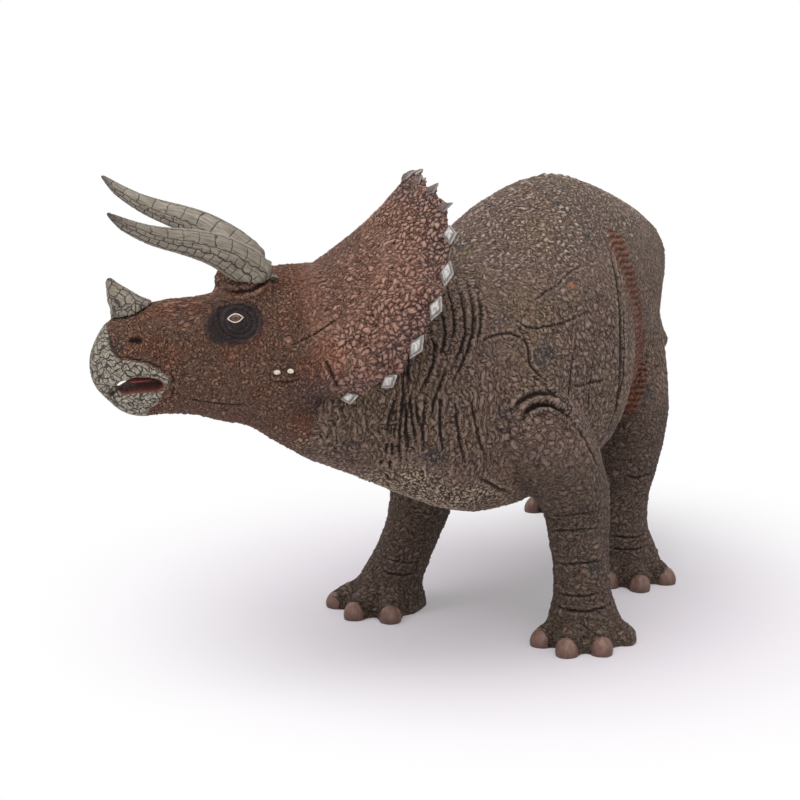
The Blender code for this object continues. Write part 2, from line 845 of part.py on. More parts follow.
# Four-sided spike on the rim
def stud_shape(turn):
    middle_back = frill_normal(turn, 1.0) * (-frill_rim_thickness / 2)
    rim = frill_surface(turn, 1.0)
    outward = (rim - frill_surface(turn, stud_inner_share)).normalized()
    beside = (frill_surface(min(turn + stud_slice_share, 1), 1.0)
              - frill_surface(max(turn - stud_slice_share, -1), 1.0))
    along = (beside - outward * beside.dot(outward)).normalized()
    across = along.cross(outward).normalized()
    centre = rim + middle_back
    shape = bmesh.new()
    tip = shape.verts.new(centre + outward * stud_length)
    root = shape.verts.new(centre - outward * (stud_length * stud_root_share))
    waist = centre + outward * (stud_length * stud_waist_share)
    ring = [shape.verts.new(waist + offset) for offset in (
        along * stud_half_width, across * stud_half_thickness,
        along * -stud_half_width, across * -stud_half_thickness)]
    for i in range(4):
        j = (i + 1) % 4
        shape.faces.new((ring[i], ring[j], tip))
        shape.faces.new((ring[j], ring[i], root))
    return shape


# Horns

def brow_horn_axis(sign):
    return [head_point(forward * brow_horn_reach, up * brow_horn_rise, sign * side * brow_horn_spread)
            for forward, up, side, _ in brow_horn_ring_shares]


def brow_horn_shape(sign):
    rows = spread_rows(brow_horn_ring_shares, 2 * len(brow_horn_ring_shares) - 1)
    axis = [head_point(forward * brow_horn_reach, up * brow_horn_rise, sign * side * brow_horn_spread)
            for forward, up, side, _ in rows]
    rings = []
    for row, point, tangent in zip(rows, axis, tangents_along(axis)):
        up = Vector((0, 0, 1))
        up = (up - tangent * up.dot(tangent)).normalized()
        radius = row[3] * brow_horn_radius
        rings.append(egg_ring(point, up.cross(tangent), up, radius * brow_horn_flat_share, radius, radius,
                              horn_sides))
    return loft(rings)


def nose_horn_shape():
    rings = []
    for forward, up, length, width in nose_horn_ring_shares:
        centre = head_point(forward * nose_horn_reach, up * nose_horn_rise)
        half_length = length * nose_horn_half_length
        rings.append(egg_ring(centre, Vector((1, 0, 0)), Vector((0, -1, 0)), width * nose_horn_half_width,
                              half_length, half_length, horn_sides))
    return loft(rings)


# Horn cut to the skull, with a peg in a socket
def seat_horn(name, shape, peg_start, peg_end, radius, head, cutters, finish, frame):
    horn = add_object(name, finish_mesh(name, shape), finish, frame)
    for cutter in cutters:
        cut_shape(horn, cutter, frame)
    join_shape(horn, prism_between(peg_start, peg_end, radius), frame)
    inward = (peg_end - peg_start).normalized()
    cut_shape(head, prism_between(peg_start, peg_end + inward * clearance, radius + clearance), frame)
    return horn


def make_horns(head, finish, frame):
    for name, sign in (("brow_horn_left", 1), ("brow_horn_right", -1)):
        axis = brow_horn_axis(sign)
        inward = (axis[0] - axis[1]).normalized()
        seat_horn(name, brow_horn_shape(sign), axis[1], axis[0] + inward * horn_peg_depth, horn_peg_radius,
                  head, (skull_shape(clearance), brow_mound(sign, clearance)), finish, frame)
    forward, up = nose_peg_place_shares
    nose_seat = head_point(forward * nose_horn_reach, up * nose_horn_rise)
    seat_horn("nose_horn", nose_horn_shape(), nose_seat, nose_seat - Vector((0, 0, nose_peg_depth)),
              nose_peg_radius, head, (skull_shape(clearance),), finish, frame)


def make_jaw(head, finish, frame):
    cut_half = skull_half_width + cut_overrun
    jaw = add_object("lower_jaw", finish_mesh("lower_jaw", skull_shape(0.0)), finish, frame)
    block = helper("block", side_block(jaw_outline_shares, 0.0, cut_half), frame)
    boolean(jaw, block, "INTERSECT")
    remove(block)
    cut_shape(jaw, side_block(mouth_outline_shares, 0.0, cut_half + cut_overrun), frame)
    cut_shape(head, side_block(jaw_outline_shares, clearance, cut_half + cut_overrun), frame)
    cut_shape(head, side_block(mouth_outline_shares, 0.0, cut_half), frame)
    forward, down = jaw_peg_place_shares
    for side in (-jaw_peg_side, jaw_peg_side):
        seam = head_point(forward * head_length, -down * skull_drop, side)
        foot = seam - Vector((0, 0, jaw_peg_entry))
        top = seam + Vector((0, 0, jaw_peg_depth))
        join_shape(jaw, prism_between(foot, top, jaw_peg_radius), frame)
        socket_top = top + Vector((0, 0, clearance))
        cut_shape(head, prism_between(foot, socket_top, jaw_peg_radius + clearance), frame)
    return jaw


# Tongue on the floor of the mouth
def make_tongue(finish, frame):
    rise = Vector((0, 0, tongue_half_height))
    root = head_point(tongue_root_shares[0] * head_length, -tongue_root_shares[1] * skull_drop) + rise
    tip = head_point(tongue_tip_shares[0] * head_length, -tongue_tip_shares[1] * skull_drop) + rise
    heading = (tip - root).normalized()
    rings = []
    for along, width, height in spread_rows(tongue_ring_shares, tongue_rings_count):
        half_height = height * tongue_half_height
        rings.append(egg_ring(root + heading * (along * tongue_length), Vector((1, 0, 0)), Vector((0, 0, 1)),
                              width * tongue_half_width, half_height, half_height, lump_sides))
    return add_object("tongue", finish_mesh("tongue", loft(rings)), finish, frame)


def make_head(skin, horn_grey, beak_grey, tongue_pink, figure):
    neck_end = torso_path()[0][-1]
    frame = bpy.data.objects.new("head_frame", None)
    bpy.context.scene.collection.objects.link(frame)
    frame.parent = figure
    frame.location = neck_end + Vector((head_set_side, head_set_back, head_set_rise))
    frame.rotation_euler = (0, head_roll, -head_turn)

    head = add_object("head", finish_mesh("head", skull_shape(0.0)), skin, frame)
    join_shape(head, frill_shape(), frame)
    for turn in stud_turn_shares:
        join_shape(head, stud_shape(turn), frame)
        join_shape(head, stud_shape(-turn), frame)
    join_shape(head, stud_shape(0.0), frame)
    make_jaw(head, beak_grey, frame)
    for sign in (1, -1):
        join_shape(head, brow_mound(sign, 0.0), frame)
        join_shape(head, eye_bump(sign), frame)
        cut_shape(head, nostril_pit(sign), frame)
    cut_shape(head, torso_solid(clearance + parting_gap / 2), figure)
    join_shape(head, end_plug(-1, 1), figure)
    make_horns(head, horn_grey, frame)
    make_tongue(tongue_pink, frame)
    return head


# Puts the middle of the figure's footprint at the origin, with the soles at zero height
def centre_figure(figure):
    bpy.context.view_layer.update()
    corners = []
    for thing in bpy.context.scene.objects:
        if thing.type == "MESH":
            corners += [thing.matrix_world @ corner.co for corner in thing.data.vertices]
    lows = [min(corner[axis] for corner in corners) for axis in range(3)]
    highs = [max(corner[axis] for corner in corners) for axis in range(3)]
    figure.location = (-(lows[0] + highs[0]) / 2, -(lows[1] + highs[1]) / 2, -lows[2])
    bpy.context.view_layer.update()


def build():
    clear_scene()
    skin = material("grey_brown_skin", (0.115, 0.082, 0.055), 0.62)
    head_skin = material("red_brown_head", (0.150, 0.070, 0.042), 0.60)
    horn_grey = material("grey_green_horn", (0.250, 0.250, 0.200), 0.55)
    beak_grey = material("grey_beak", (0.270, 0.255, 0.220), 0.55)
    tongue_pink = material("dusky_pink_tongue", (0.300, 0.110, 0.100), 0.45)

    figure = bpy.data.objects.new("figure", None)
    bpy.context.scene.collection.objects.link(figure)
    left = torso_half("torso_left_shell", 1, skin, figure)
    right = torso_half("torso_right_shell", -1, skin, figure)
    add_bosses(left, right, figure)
    make_legs(left, right, skin, figure)
    make_tail(skin, figure)
    make_head(head_skin, horn_grey, beak_grey, tongue_pink, figure)
    centre_figure(figure)
    return figure


figure = build()
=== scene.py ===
# Painted toy of a horned dinosaur: skin, horns, studs, claws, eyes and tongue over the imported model
import math

import bmesh
import bpy
import numpy as np
from mathutils import Euler, Matrix, Vector
from mathutils.bvhtree import BVHTree
from mathutils.kdtree import KDTree


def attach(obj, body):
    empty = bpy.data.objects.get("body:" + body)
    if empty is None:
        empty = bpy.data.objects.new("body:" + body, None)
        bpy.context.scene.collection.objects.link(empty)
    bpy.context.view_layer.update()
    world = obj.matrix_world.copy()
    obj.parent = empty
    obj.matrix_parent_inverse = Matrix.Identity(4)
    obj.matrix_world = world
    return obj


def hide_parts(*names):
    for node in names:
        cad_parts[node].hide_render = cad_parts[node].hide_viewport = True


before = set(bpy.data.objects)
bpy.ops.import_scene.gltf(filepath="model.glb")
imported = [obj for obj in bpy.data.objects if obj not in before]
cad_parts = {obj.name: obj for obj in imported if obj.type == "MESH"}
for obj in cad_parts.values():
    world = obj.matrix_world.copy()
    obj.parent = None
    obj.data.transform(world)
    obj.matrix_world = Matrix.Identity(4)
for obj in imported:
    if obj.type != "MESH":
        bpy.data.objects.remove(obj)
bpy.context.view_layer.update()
mm = 0.001


# Shader and geometry maths as expressions

def colour(value):  # hex text to a linear colour
    if not isinstance(value, str):
        return value
    parts = [int(value[i:i + 2], 16) / 255 for i in (0, 2, 4)]
    return (*[c / 12.92 if c < 0.04045 else ((c + 0.055) / 1.055) ** 2.4 for c in parts], 1)


class Wire:
    def __init__(self, net, socket):
        self.net = net
        self.socket = socket

    def __add__(self, other):
        return self.net.maths("ADD", self, other)

    def __sub__(self, other):
        return self.net.maths("SUBTRACT", self, other)

    def __rsub__(self, other):
        return self.net.maths("SUBTRACT", other, self)

    def __mul__(self, other):
        return self.net.maths("MULTIPLY", self, other)

    __radd__ = __add__
    __rmul__ = __mul__


class Net:
    def __init__(self, tree):
        self.tree = tree
        self.forShading = tree.bl_idname == "ShaderNodeTree"

    def make(self, kind, settings=None, values=None, output=0):
        node = self.tree.nodes.new(kind)
        for name, value in (settings or {}).items():
            setattr(node, name, value)
        for name, value in (values or {}).items():
            if isinstance(value, Wire):
                self.tree.links.new(value.socket, node.inputs[name])
            else:
                node.inputs[name].default_value = value
        return Wire(self, node.outputs[output])

    def maths(self, operation, *terms):
        return self.make("ShaderNodeMath", {"operation": operation}, dict(enumerate(terms)))

    def vector(self, operation, *terms, output="Vector"):
        return self.make("ShaderNodeVectorMath", {"operation": operation}, dict(enumerate(terms)), output)

    def step(self, value, low, high, start=0.0, end=1.0):  # smooth step between low and high
        return self.make("ShaderNodeMapRange", {"interpolation_type": "SMOOTHSTEP"},
                         {"Value": value, "From Min": low, "From Max": high, "To Min": start, "To Max": end})

    def mix(self, factor, first, second):
        return self.make("ShaderNodeMix", {"data_type": "RGBA"},
                         {0: factor, 6: colour(first), 7: colour(second)}, 2)

    def blend(self, first, second, factor):
        return first + (second - first) * factor

    def field(self, name, isVector=False):  # a value stored on the mesh
        if self.forShading:
            return self.make("ShaderNodeAttribute", {"attribute_name": name}, output="Vector" if isVector else "Fac")
        kind = "FLOAT_VECTOR" if isVector else "FLOAT"
        return self.make("GeometryNodeInputNamedAttribute", {"data_type": kind}, {"Name": name})

    def stretched(self, place, wide, deep, high):
        return self.vector("MULTIPLY", place, (1 / wide, 1 / deep, 1 / high))

    def cells(self, place, size, feature="DISTANCE_TO_EDGE", output="Distance"):
        return self.make("ShaderNodeTexVoronoi", {"feature": feature},
                         {"Vector": self.stretched(place, *size), "Scale": 1.0}, output)

    def cloud(self, place, size, detail=2.0, roughness=0.5, output="Fac"):
        return self.make("ShaderNodeTexNoise", {}, {"Vector": self.stretched(place, *size), "Scale": 1.0,
                                                    "Detail": detail, "Roughness": roughness}, output)

    def sway(self, place, size, detail, reach):  # a shift each way of up to half the reach
        shift = self.vector("SUBTRACT", self.cloud(place, (size,) * 3, detail, output="Color"), (0.5, 0.5, 0.5))
        return self.vector("MULTIPLY", shift, (reach,) * 3)

    def objectPlace(self):  # millimetres in the object's own space
        return self.vector("MULTIPLY", self.make("ShaderNodeTexCoord", output="Object"), (1000, 1000, 1000))

    def bumpNormal(self, height, distance, strength=1.0):
        return self.make("ShaderNodeBump", {}, {"Height": height, "Distance": distance * mm, "Strength": strength},
                         "Normal")


class Paint(Net):  # a material with its shader
    def __init__(self, name):
        self.material = bpy.data.materials.new(name)
        self.material.use_nodes = True
        super().__init__(self.material.node_tree)
        self.shader = self.tree.nodes["Principled BSDF"]

    def feed(self, name, value):
        if isinstance(value, Wire):
            self.tree.links.new(value.socket, self.shader.inputs[name])
        else:
            self.shader.inputs[name].default_value = value


# Mesh helpers

def evaluated(piece):  # applies the piece's modifiers
    made = bpy.data.meshes.new_from_object(piece.evaluated_get(bpy.context.evaluated_depsgraph_get()))
    piece.modifiers.clear()
    piece.data = made
    made.name = piece.name
    return piece


def addPiece(name, mesh):
    piece = bpy.data.objects.new(name, mesh)
    bpy.context.scene.collection.objects.link(piece)
    return piece


def meshOf(name, *shapes):  # bmesh shapes to one mesh
    whole = bmesh.new()
    for shape in shapes:
        made = bpy.data.meshes.new("part")
        shape.to_mesh(made)
        shape.free()
        whole.from_mesh(made)
        bpy.data.meshes.remove(made)
    bmesh.ops.recalc_face_normals(whole, faces=whole.faces)
    mesh = bpy.data.meshes.new(name)
    whole.to_mesh(mesh)
    whole.free()
    mesh.shade_smooth()
    return mesh


def joinRows(shape, rows, isRing=True):  # faces between neighbouring rows of corners
    count = len(rows[0])
    for row, after in zip(rows, rows[1:]):
        for i in range(count if isRing else count - 1):
            j = (i + 1) % count
            shape.faces.new((row[i], row[j], after[j], after[i]))


def ballOf(segments, rings, placeOf):  # a sphere with its corners moved by placeOf
    shape = bmesh.new()
    bmesh.ops.create_uvsphere(shape, u_segments=segments, v_segments=rings, radius=1.0)
    for corner in shape.verts:
        corner.co = placeOf(*corner.co)
    return shape


def readPoints(mesh):
    points = np.empty(len(mesh.vertices) * 3)
    mesh.vertices.foreach_get("co", points)
    return points.reshape(-1, 3)


def writePoints(mesh, points):
    mesh.vertices.foreach_set("co", np.ascontiguousarray(points, float).ravel())
    mesh.update()


def readNormals(mesh):
    normals = np.empty(len(mesh.vertices) * 3)
    mesh.vertex_normals.foreach_get("vector", normals)
    return normals.reshape(-1, 3)


def readEdges(mesh):
    edges = np.empty(len(mesh.edges) * 2, np.int64)
    mesh.edges.foreach_get("vertices", edges)
    return edges.reshape(-1, 2)


def setField(mesh, name, values):
    isVector = values.ndim == 2
    if name in mesh.attributes:
        mesh.attributes.remove(mesh.attributes[name])
    made = mesh.attributes.new(name, "FLOAT_VECTOR" if isVector else "FLOAT", "POINT")
    made.data.foreach_set("vector" if isVector else "value", np.ascontiguousarray(values, np.float32).ravel())


def getField(mesh, name):
    values = np.empty(len(mesh.vertices), np.float32)
    mesh.attributes[name].data.foreach_get("value", values)
    return values.astype(float)


def neighbourMean(values, edges, count):
    total = np.zeros_like(values)
    share = np.bincount(edges.ravel(), minlength=count).astype(float)
    for axis in range(values.shape[1]):
        total[:, axis] = (np.bincount(edges[:, 0], values[edges[:, 1], axis], count)
                          + np.bincount(edges[:, 1], values[edges[:, 0], axis], count))
    return total / np.maximum(share, 1)[:, None]


def smoothPoints(mesh, rounds):  # pulls in and pushes out, which keeps the volume
    points = readPoints(mesh)
    edges = readEdges(mesh)
    for turn in range(rounds * 2):
        points = points + (neighbourMean(points, edges, len(points)) - points) * (0.50, -0.52)[turn % 2]
    writePoints(mesh, points)


def largestIsland(piece):  # drops everything but the outer skin
    mesh = piece.data
    edges = readEdges(mesh)
    label = np.arange(len(mesh.vertices))
    while True:
        low = np.minimum(label[edges[:, 0]], label[edges[:, 1]])
        fresh = label.copy()
        np.minimum.at(fresh, edges[:, 0], low)
        np.minimum.at(fresh, edges[:, 1], low)
        fresh = fresh[fresh]
        if (fresh == label).all():
            break
        label = fresh
    keep = label == np.bincount(label).argmax()
    shape = bmesh.new()
    shape.from_mesh(mesh)
    shape.verts.ensure_lookup_table()
    bmesh.ops.delete(shape, geom=[shape.verts[i] for i in np.flatnonzero(~keep)], context="VERTS")
    shape.to_mesh(mesh)
    shape.free()


def swollenShape(node, swell):  # a CAD node welded and moved out along its normals
    shape = bmesh.new()
    shape.from_mesh(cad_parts[node].data)
    bmesh.ops.remove_doubles(shape, verts=shape.verts, dist=0.01 * mm)
    shape.normal_update()
    moved = [(corner, corner.co + corner.normal * swell) for corner in shape.verts]
    for corner, place in moved:
        corner.co = place
    return shape


def remesh(piece, size, rounds):
    step = piece.modifiers.new("voxels", "REMESH")
    step.mode = "VOXEL"
    step.voxel_size = size
    evaluated(piece)
    largestIsland(piece)
    smoothPoints(piece.data, rounds)
    finer = piece.modifiers.new("finer", "SUBSURF")
    finer.levels = 1
    evaluated(piece)
    piece.data.shade_smooth()
    return piece


def bakeFields(piece, recipe):  # stores the recipe's values on the mesh
    tree = bpy.data.node_groups.new("fields", "GeometryNodeTree")
    tree.interface.new_socket("Geometry", in_out="INPUT", socket_type="NodeSocketGeometry")
    tree.interface.new_socket("Geometry", in_out="OUTPUT", socket_type="NodeSocketGeometry")
    net = Net(tree)
    flow = net.make("NodeGroupInput")
    for name, value in recipe(net).items():
        kind = "FLOAT_VECTOR" if name.startswith("mould") else "FLOAT"
        flow = net.make("GeometryNodeStoreNamedAttribute", {"data_type": kind},
                        {"Geometry": flow, "Name": name, "Value": value})
    tree.links.new(flow.socket, tree.nodes.new("NodeGroupOutput").inputs[0])
    step = piece.modifiers.new("fields", "NODES")
    step.node_group = tree
    evaluated(piece)


def treeOf(mesh):
    return BVHTree.FromPolygons([Vector(p) for p in readPoints(mesh)], [list(face.vertices) for face in mesh.polygons])


def bump(distance, width):
    return np.exp(-(distance / width) ** 2)


def ease(value, low, high):
    t = np.clip((value - low) / (high - low), 0, 1)
    return t * t * (3 - 2 * t)


# Camera: the photograph's place, in the model's frame

view = {"eye": (170.79, -421.02, 138.9), "aside": 24, "down": 11.5, "lens": 85.5, "pixelFocal": 1900, "centre": 400}

aside, down = math.radians(view["aside"]), math.radians(view["down"])
looking = Vector((-math.sin(aside) * math.cos(down), math.cos(aside) * math.cos(down), -math.sin(down)))
camera = bpy.data.objects.new("camera", bpy.data.cameras.new("camera"))
bpy.context.scene.collection.objects.link(camera)
camera.location = Vector(view["eye"]) * mm
camera.rotation_euler = looking.to_track_quat("-Z", "Y").to_euler()
camera.data.sensor_width = 36
camera.data.lens = view["lens"]
camera.data.clip_start = 0.01
bpy.context.scene.camera = camera
bpy.context.view_layer.update()
print("camera placed")


def rayThrough(u, v):
    local = Vector(((u - view["centre"]) / view["pixelFocal"], (view["centre"] - v) / view["pixelFocal"], -1))
    return (camera.matrix_world.to_3x3() @ local).normalized()


def pixelsOf(places):  # metres in the model to pixels of the photograph
    toCamera = np.array(camera.matrix_world.inverted())
    local = places @ toCamera[:3, :3].T + toCamera[:3, 3]
    return view["centre"] + view["pixelFocal"] * local[:, :2] / -local[:, 2:3] * (1, -1)


def traceOn(tree, pixels):  # points on the surface under a line of pixels
    found = []
    for (u0, v0), (u1, v1) in zip(pixels, pixels[1:] or pixels):
        count = max(int(math.hypot(u1 - u0, v1 - v0) / 1.6), 1)
        for i in range(count + 1):
            t = i / count
            hit = tree.ray_cast(camera.location, rayThrough(u0 + (u1 - u0) * t, v0 + (v1 - v0) * t))[0]
            if hit:
                found.append(hit)
    return found


def lineGap(points, line):  # distance from a line of points
    best = np.full(len(points), 1e9)
    for a, b in zip(line, line[1:]):
        a, b = np.array(a, float), np.array(b, float)
        along = np.clip(((points - a) @ (b - a)) / max((b - a) @ (b - a), 1e-9), 0, 1)
        best = np.minimum(best, np.linalg.norm(points - a - along[:, None] * (b - a), axis=1))
    return best


def zoneIn(pixels, outline, soft):  # 1 inside an outline of pixels, fading over its edge
    closed = list(outline) + [outline[0]]
    isIn = np.zeros(len(pixels), bool)
    for (x0, y0), (x1, y1) in zip(closed, closed[1:]):
        crosses = (y0 > pixels[:, 1]) != (y1 > pixels[:, 1])
        isIn ^= crosses & (pixels[:, 0] < (x1 - x0) * (pixels[:, 1] - y0) / (y1 - y0 + 1e-9) + x0)
    gap = lineGap(pixels, closed)
    return ease(np.where(isIn, gap, -gap), -soft, soft)


# Head frame: forward along the snout, up, and side towards the figure's left

headFrame = {"place": (-4.21, -64.422, 73.25), "roll": 5, "turn": -56}

headMatrix = Matrix.Translation(Vector(headFrame["place"])) @ Euler(
    (0, math.radians(headFrame["roll"]), math.radians(headFrame["turn"]))).to_matrix().to_4x4()
headRows = np.array(headMatrix)
headInverse = np.array(headMatrix.inverted())
bodyMiddle = 15.79


def headPoint(forward, up, side):  # millimetres in the head to metres in the model
    return (headMatrix @ Vector((side, -forward, up))) * mm


def headPlaces(points):  # metres in the model to forward, up and side in millimetres
    local = points / mm @ headInverse[:3, :3].T + headInverse[:3, 3]
    return -local[:, 1], local[:, 2], local[:, 0]


def mirrorHead(place):
    local = headMatrix.inverted() @ (Vector(place) / mm)
    local.x = -local.x
    return (headMatrix @ local) * mm


def mirrorBody(place):
    return Vector((2 * bodyMiddle * mm - place[0], place[1], place[2]))


# Skin: one surface over the torso, legs, tail, head and jaw, later cut into a piece for each

skinPlan = {
    "voxel": 0.9, "swell": 0.25, "rounds": 5,
    "pieces": {
        "torsoSkin": ("torso_left_shell", "torso_right_shell"),
        "frontLeftSkin": ("front_left_leg",),
        "frontRightSkin": ("front_right_leg",),
        "rearLeftSkin": ("rear_left_leg",),
        "rearRightSkin": ("rear_right_leg",),
        "tailSkin": ("tail",),
        "headSkin": ("head",),
        "jawSkin": ("lower_jaw",),
    },
}
# Opening between the beak's edges, forward and up in the head
mouthPlan = {"half": 22, "outline": ((46.5, -11.6), (44.6, -8.7), (41.8, -7.6), (38.9, -7.3), (36.2, -7.8),
                                     (34.2, -9.5), (37.0, -10.1), (39.6, -10.3), (42.4, -10.8), (44.8, -11.9))}


def mouthCutter():
    shape = bmesh.new()
    rows = [[shape.verts.new(headPoint(f, u, side)) for f, u in mouthPlan["outline"]]
            for side in (-mouthPlan["half"], mouthPlan["half"])]
    joinRows(shape, rows)
    for row in rows:
        shape.faces.new(row)
    return addPiece("mouthCutter", meshOf("mouthCutter", shape))


def makeSkin():
    cutter = mouthCutter()
    shapes = []
    for nodes in skinPlan["pieces"].values():
        for node in nodes:
            shape = swollenShape(node, skinPlan["swell"] * mm)
            if node in ("head", "lower_jaw"):
                cut = addPiece("cut", meshOf("cut", shape))
                step = cut.modifiers.new("mouth", "BOOLEAN")
                step.object = cutter
                step.solver = "MANIFOLD"
                shape = bmesh.new()
                shape.from_mesh(evaluated(cut).data)
                bpy.data.objects.remove(cut)
            shapes.append(shape)
    bpy.data.objects.remove(cutter)
    return remesh(addPiece("skin", meshOf("skin", *shapes)), skinPlan["voxel"] * mm, skinPlan["rounds"])


skin = makeSkin()
print("skin surface", len(skin.data.vertices))


def ownersOf(points):  # which skin piece each point belongs to
    corners, faces, owner = [], [], []
    for index, nodes in enumerate(skinPlan["pieces"].values()):
        for node in nodes:
            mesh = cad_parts[node].data
            start = len(corners)
            corners += [corner.co.copy() for corner in mesh.vertices]
            for face in mesh.polygons:
                faces.append([start + i for i in face.vertices])
                owner.append(index)
    tree = BVHTree.FromPolygons(corners, faces)
    return np.array([owner[tree.find_nearest(Vector(point))[2]] for point in points])


pieceNames = list(skinPlan["pieces"])
points = readPoints(skin.data)
owner = ownersOf(points)
skinTree = treeOf(skin.data)
print("owners found")


# Creases: depth, width and the height of the lip beside each in millimetres, then its line in the photograph's pixels

creases = {
    "thighGroove": (0.60, 1.30, 0.20, (
        (603, 232), (611, 252), (617, 275), (621, 309), (622, 345), (621, 380), (617, 410), (609, 431), (598, 443))),
    "thighShadow": (0.45, 0.50, 0.15, (
        (608, 238), (616, 258), (621, 280), (624, 309), (625, 345), (624, 378), (618, 408), (609, 430))),
    "flankUpper": (0.26, 0.32, 0.12, ((552, 292), (560, 282), (570, 271), (581, 266), (593, 263))),
    "flankMiddle": (0.42, 0.35, 0.20, (
        (511, 311), (517, 320), (526, 326), (537, 328), (548, 326), (563, 323), (577, 317), (591, 310))),
    "flankLower": (0.40, 0.40, 0.15, ((568, 383), (580, 386), (590, 383), (600, 381), (609, 377))),
    "flankUpright": (0.38, 0.38, 0.12, ((576, 343), (573, 362), (570, 385), (568, 410), (572, 432))),
    "flankUpright2": (0.32, 0.38, 0.10, ((597, 348), (592, 370), (589, 398), (590, 420))),
    "flankSlant": (0.32, 0.38, 0.10, ((536, 300), (546, 291), (556, 286))),
    "thighUpper": (0.35, 0.38, 0.12, ((628, 296), (638, 292), (650, 290), (658, 291))),
    "thighMiddle": (0.30, 0.38, 0.10, ((636, 334), (648, 332), (660, 333))),
    "shoulderTop": (0.20, 0.40, 0.25, ((476, 343), (486, 338), (498, 334), (510, 333), (520, 337), (527, 345))),
    "shoulderFront": (0.50, 0.45, 0.35, (
        (516, 322), (524, 336), (529, 350), (530, 364), (540, 376), (552, 387), (563, 398), (573, 412))),
    "shoulderFold": (0.70, 0.55, 0.40, ((531, 372), (543, 385), (556, 395), (567, 407), (577, 424))),
    "elbowCrescent": (1.4, 0.65, 0.8, (
        (522, 419), (527, 412), (533, 407), (540, 404), (548, 404), (557, 407), (565, 413), (572, 421), (577, 428))),
    "elbowUpper": (0.70, 0.60, 0.45, (
        (510, 412), (518, 404), (527, 397), (538, 393), (549, 393), (560, 398), (570, 407), (579, 419))),
    "elbowLower": (0.50, 0.60, 0.30, ((575, 424), (583, 436), (592, 452), (600, 470))),
    "forearm": (0.30, 0.36, 0.22, ((541, 513), (552, 516), (566, 516), (582, 514), (600, 511), (606, 509))),
    "forearmBelow": (0.28, 0.36, 0.18, ((546, 529), (560, 531), (580, 530), (603, 527))),
    "ankle1": (0.25, 0.36, 0.20, ((553, 562), (566, 564), (585, 563), (604, 560))),
    "ankle2": (0.30, 0.36, 0.22, ((553, 592), (568, 596), (588, 596), (606, 591))),
    "ankle3": (0.45, 0.40, 0.30, ((551, 604), (566, 610), (586, 612), (603, 608), (613, 602))),
    "farAnkle1": (0.28, 0.36, 0.20, ((374, 566), (388, 573), (405, 575), (422, 573))),
    "farAnkle2": (0.22, 0.36, 0.18, ((380, 555), (394, 561), (410, 563), (425, 561))),
    "rearAnkle": (0.32, 0.36, 0.22, ((606, 546), (620, 549), (636, 549), (650, 544))),
    "rearAnkle2": (0.24, 0.36, 0.18, ((608, 534), (622, 537), (636, 537), (648, 533))),
    "rearKnee": (0.30, 0.45, 0.20, ((622, 475), (636, 478), (650, 474), (658, 468))),
    "neck1": (0.80, 0.42, 0.40, ((446, 282), (450, 296), (454, 312), (455, 330), (451, 345))),
    "neck2": (0.75, 0.42, 0.40, ((455, 280), (461, 296), (465, 314), (466, 332), (461, 350), (453, 366))),
    "neck3": (0.65, 0.42, 0.35, ((466, 280), (471, 296), (474, 314), (473, 332), (468, 350), (461, 368), (452, 384))),
    "neck4": (0.45, 0.42, 0.25, ((478, 292), (481, 308), (481, 326), (477, 345))),
    "neck5": (0.65, 0.42, 0.35, ((438, 300), (443, 316), (446, 332), (443, 348), (437, 360))),
    "neck6": (0.65, 0.42, 0.35, ((430, 330), (435, 345), (434, 362), (428, 378), (420, 392))),
    "neck7": (0.45, 0.42, 0.25, ((447, 366), (441, 384), (434, 402), (432, 420))),
    "chest1": (0.45, 0.42, 0.30, ((441, 395), (440, 415), (441, 436), (444, 458))),
    "chest2": (0.40, 0.42, 0.25, ((427, 392), (424, 412), (423, 432), (424, 452))),
    "chest3": (0.35, 0.42, 0.25, ((412, 392), (408, 410), (405, 430), (404, 446))),
    "chest4": (0.30, 0.42, 0.20, ((397, 393), (392, 408), (388, 424), (386, 440))),
    "chest5": (0.40, 0.42, 0.25, ((456, 400), (457, 420), (460, 442), (466, 466))),
    "chest6": (0.30, 0.42, 0.20, ((470, 392), (474, 415), (479, 438), (487, 462))),
    "armpit": (0.20, 0.60, 0.15, ((476, 476), (488, 483), (500, 489), (513, 495))),
    "cheekLine": (0.36, 0.28, 0.16, ((290, 346), (303, 340), (317, 332), (332, 322), (341, 316))),
    "frillShort": (0.30, 0.28, 0.15, ((361, 343), (368, 348), (376, 355))),
    "frillEdge": (0.25, 0.50, 0.15, ((322, 358), (328, 366), (334, 380), (339, 392))),
    "mouthCorner": (0.25, 0.35, 0.15, ((168, 370), (173, 378), (174, 388), (170, 400))),
    "lipLine": (0.28, 0.30, 0.18, ((117, 356), (132, 359), (148, 362), (160, 368), (167, 374))),
    "beakGap": (0.9, 0.45, 0.15, ((115, 392), (111, 395), (107, 398), (103, 401))),
    "beakLine": (0.40, 0.35, 0.15, ((106, 326), (109, 336), (111, 348), (116, 357))),
    "cheekFold": (0.15, 0.30, 0.12, ((266, 378), (277, 382), (290, 382), (303, 379))),
    "jawFold": (0.12, 0.40, 0.12, ((180, 398), (205, 402), (230, 405), (252, 404))),
    "hornSleeve": (0.55, 0.55, 0.40, ((222, 290), (236, 292), (252, 290), (266, 281), (272, 268))),
}
headCreases = ("cheekLine", "frillShort", "frillEdge", "mouthCorner", "lipLine", "beakGap", "beakLine", "cheekFold",
               "jawFold", "hornSleeve")
legCreases = ("forearm", "forearmBelow", "ankle1", "ankle2", "ankle3", "farAnkle1", "farAnkle2", "rearAnkle",
              "rearAnkle2", "rearKnee", "elbowLower")
# Across a crease in widths: how far it is searched, the lip's place and width. Paint: growth of the gap, closed ends.
creaseShape = {"search": 3.2, "lipPlace": 1.7, "lipWidth": 0.7, "end": 0.2, "taper": 4, "spread": 0.42, "closed": 0.35}


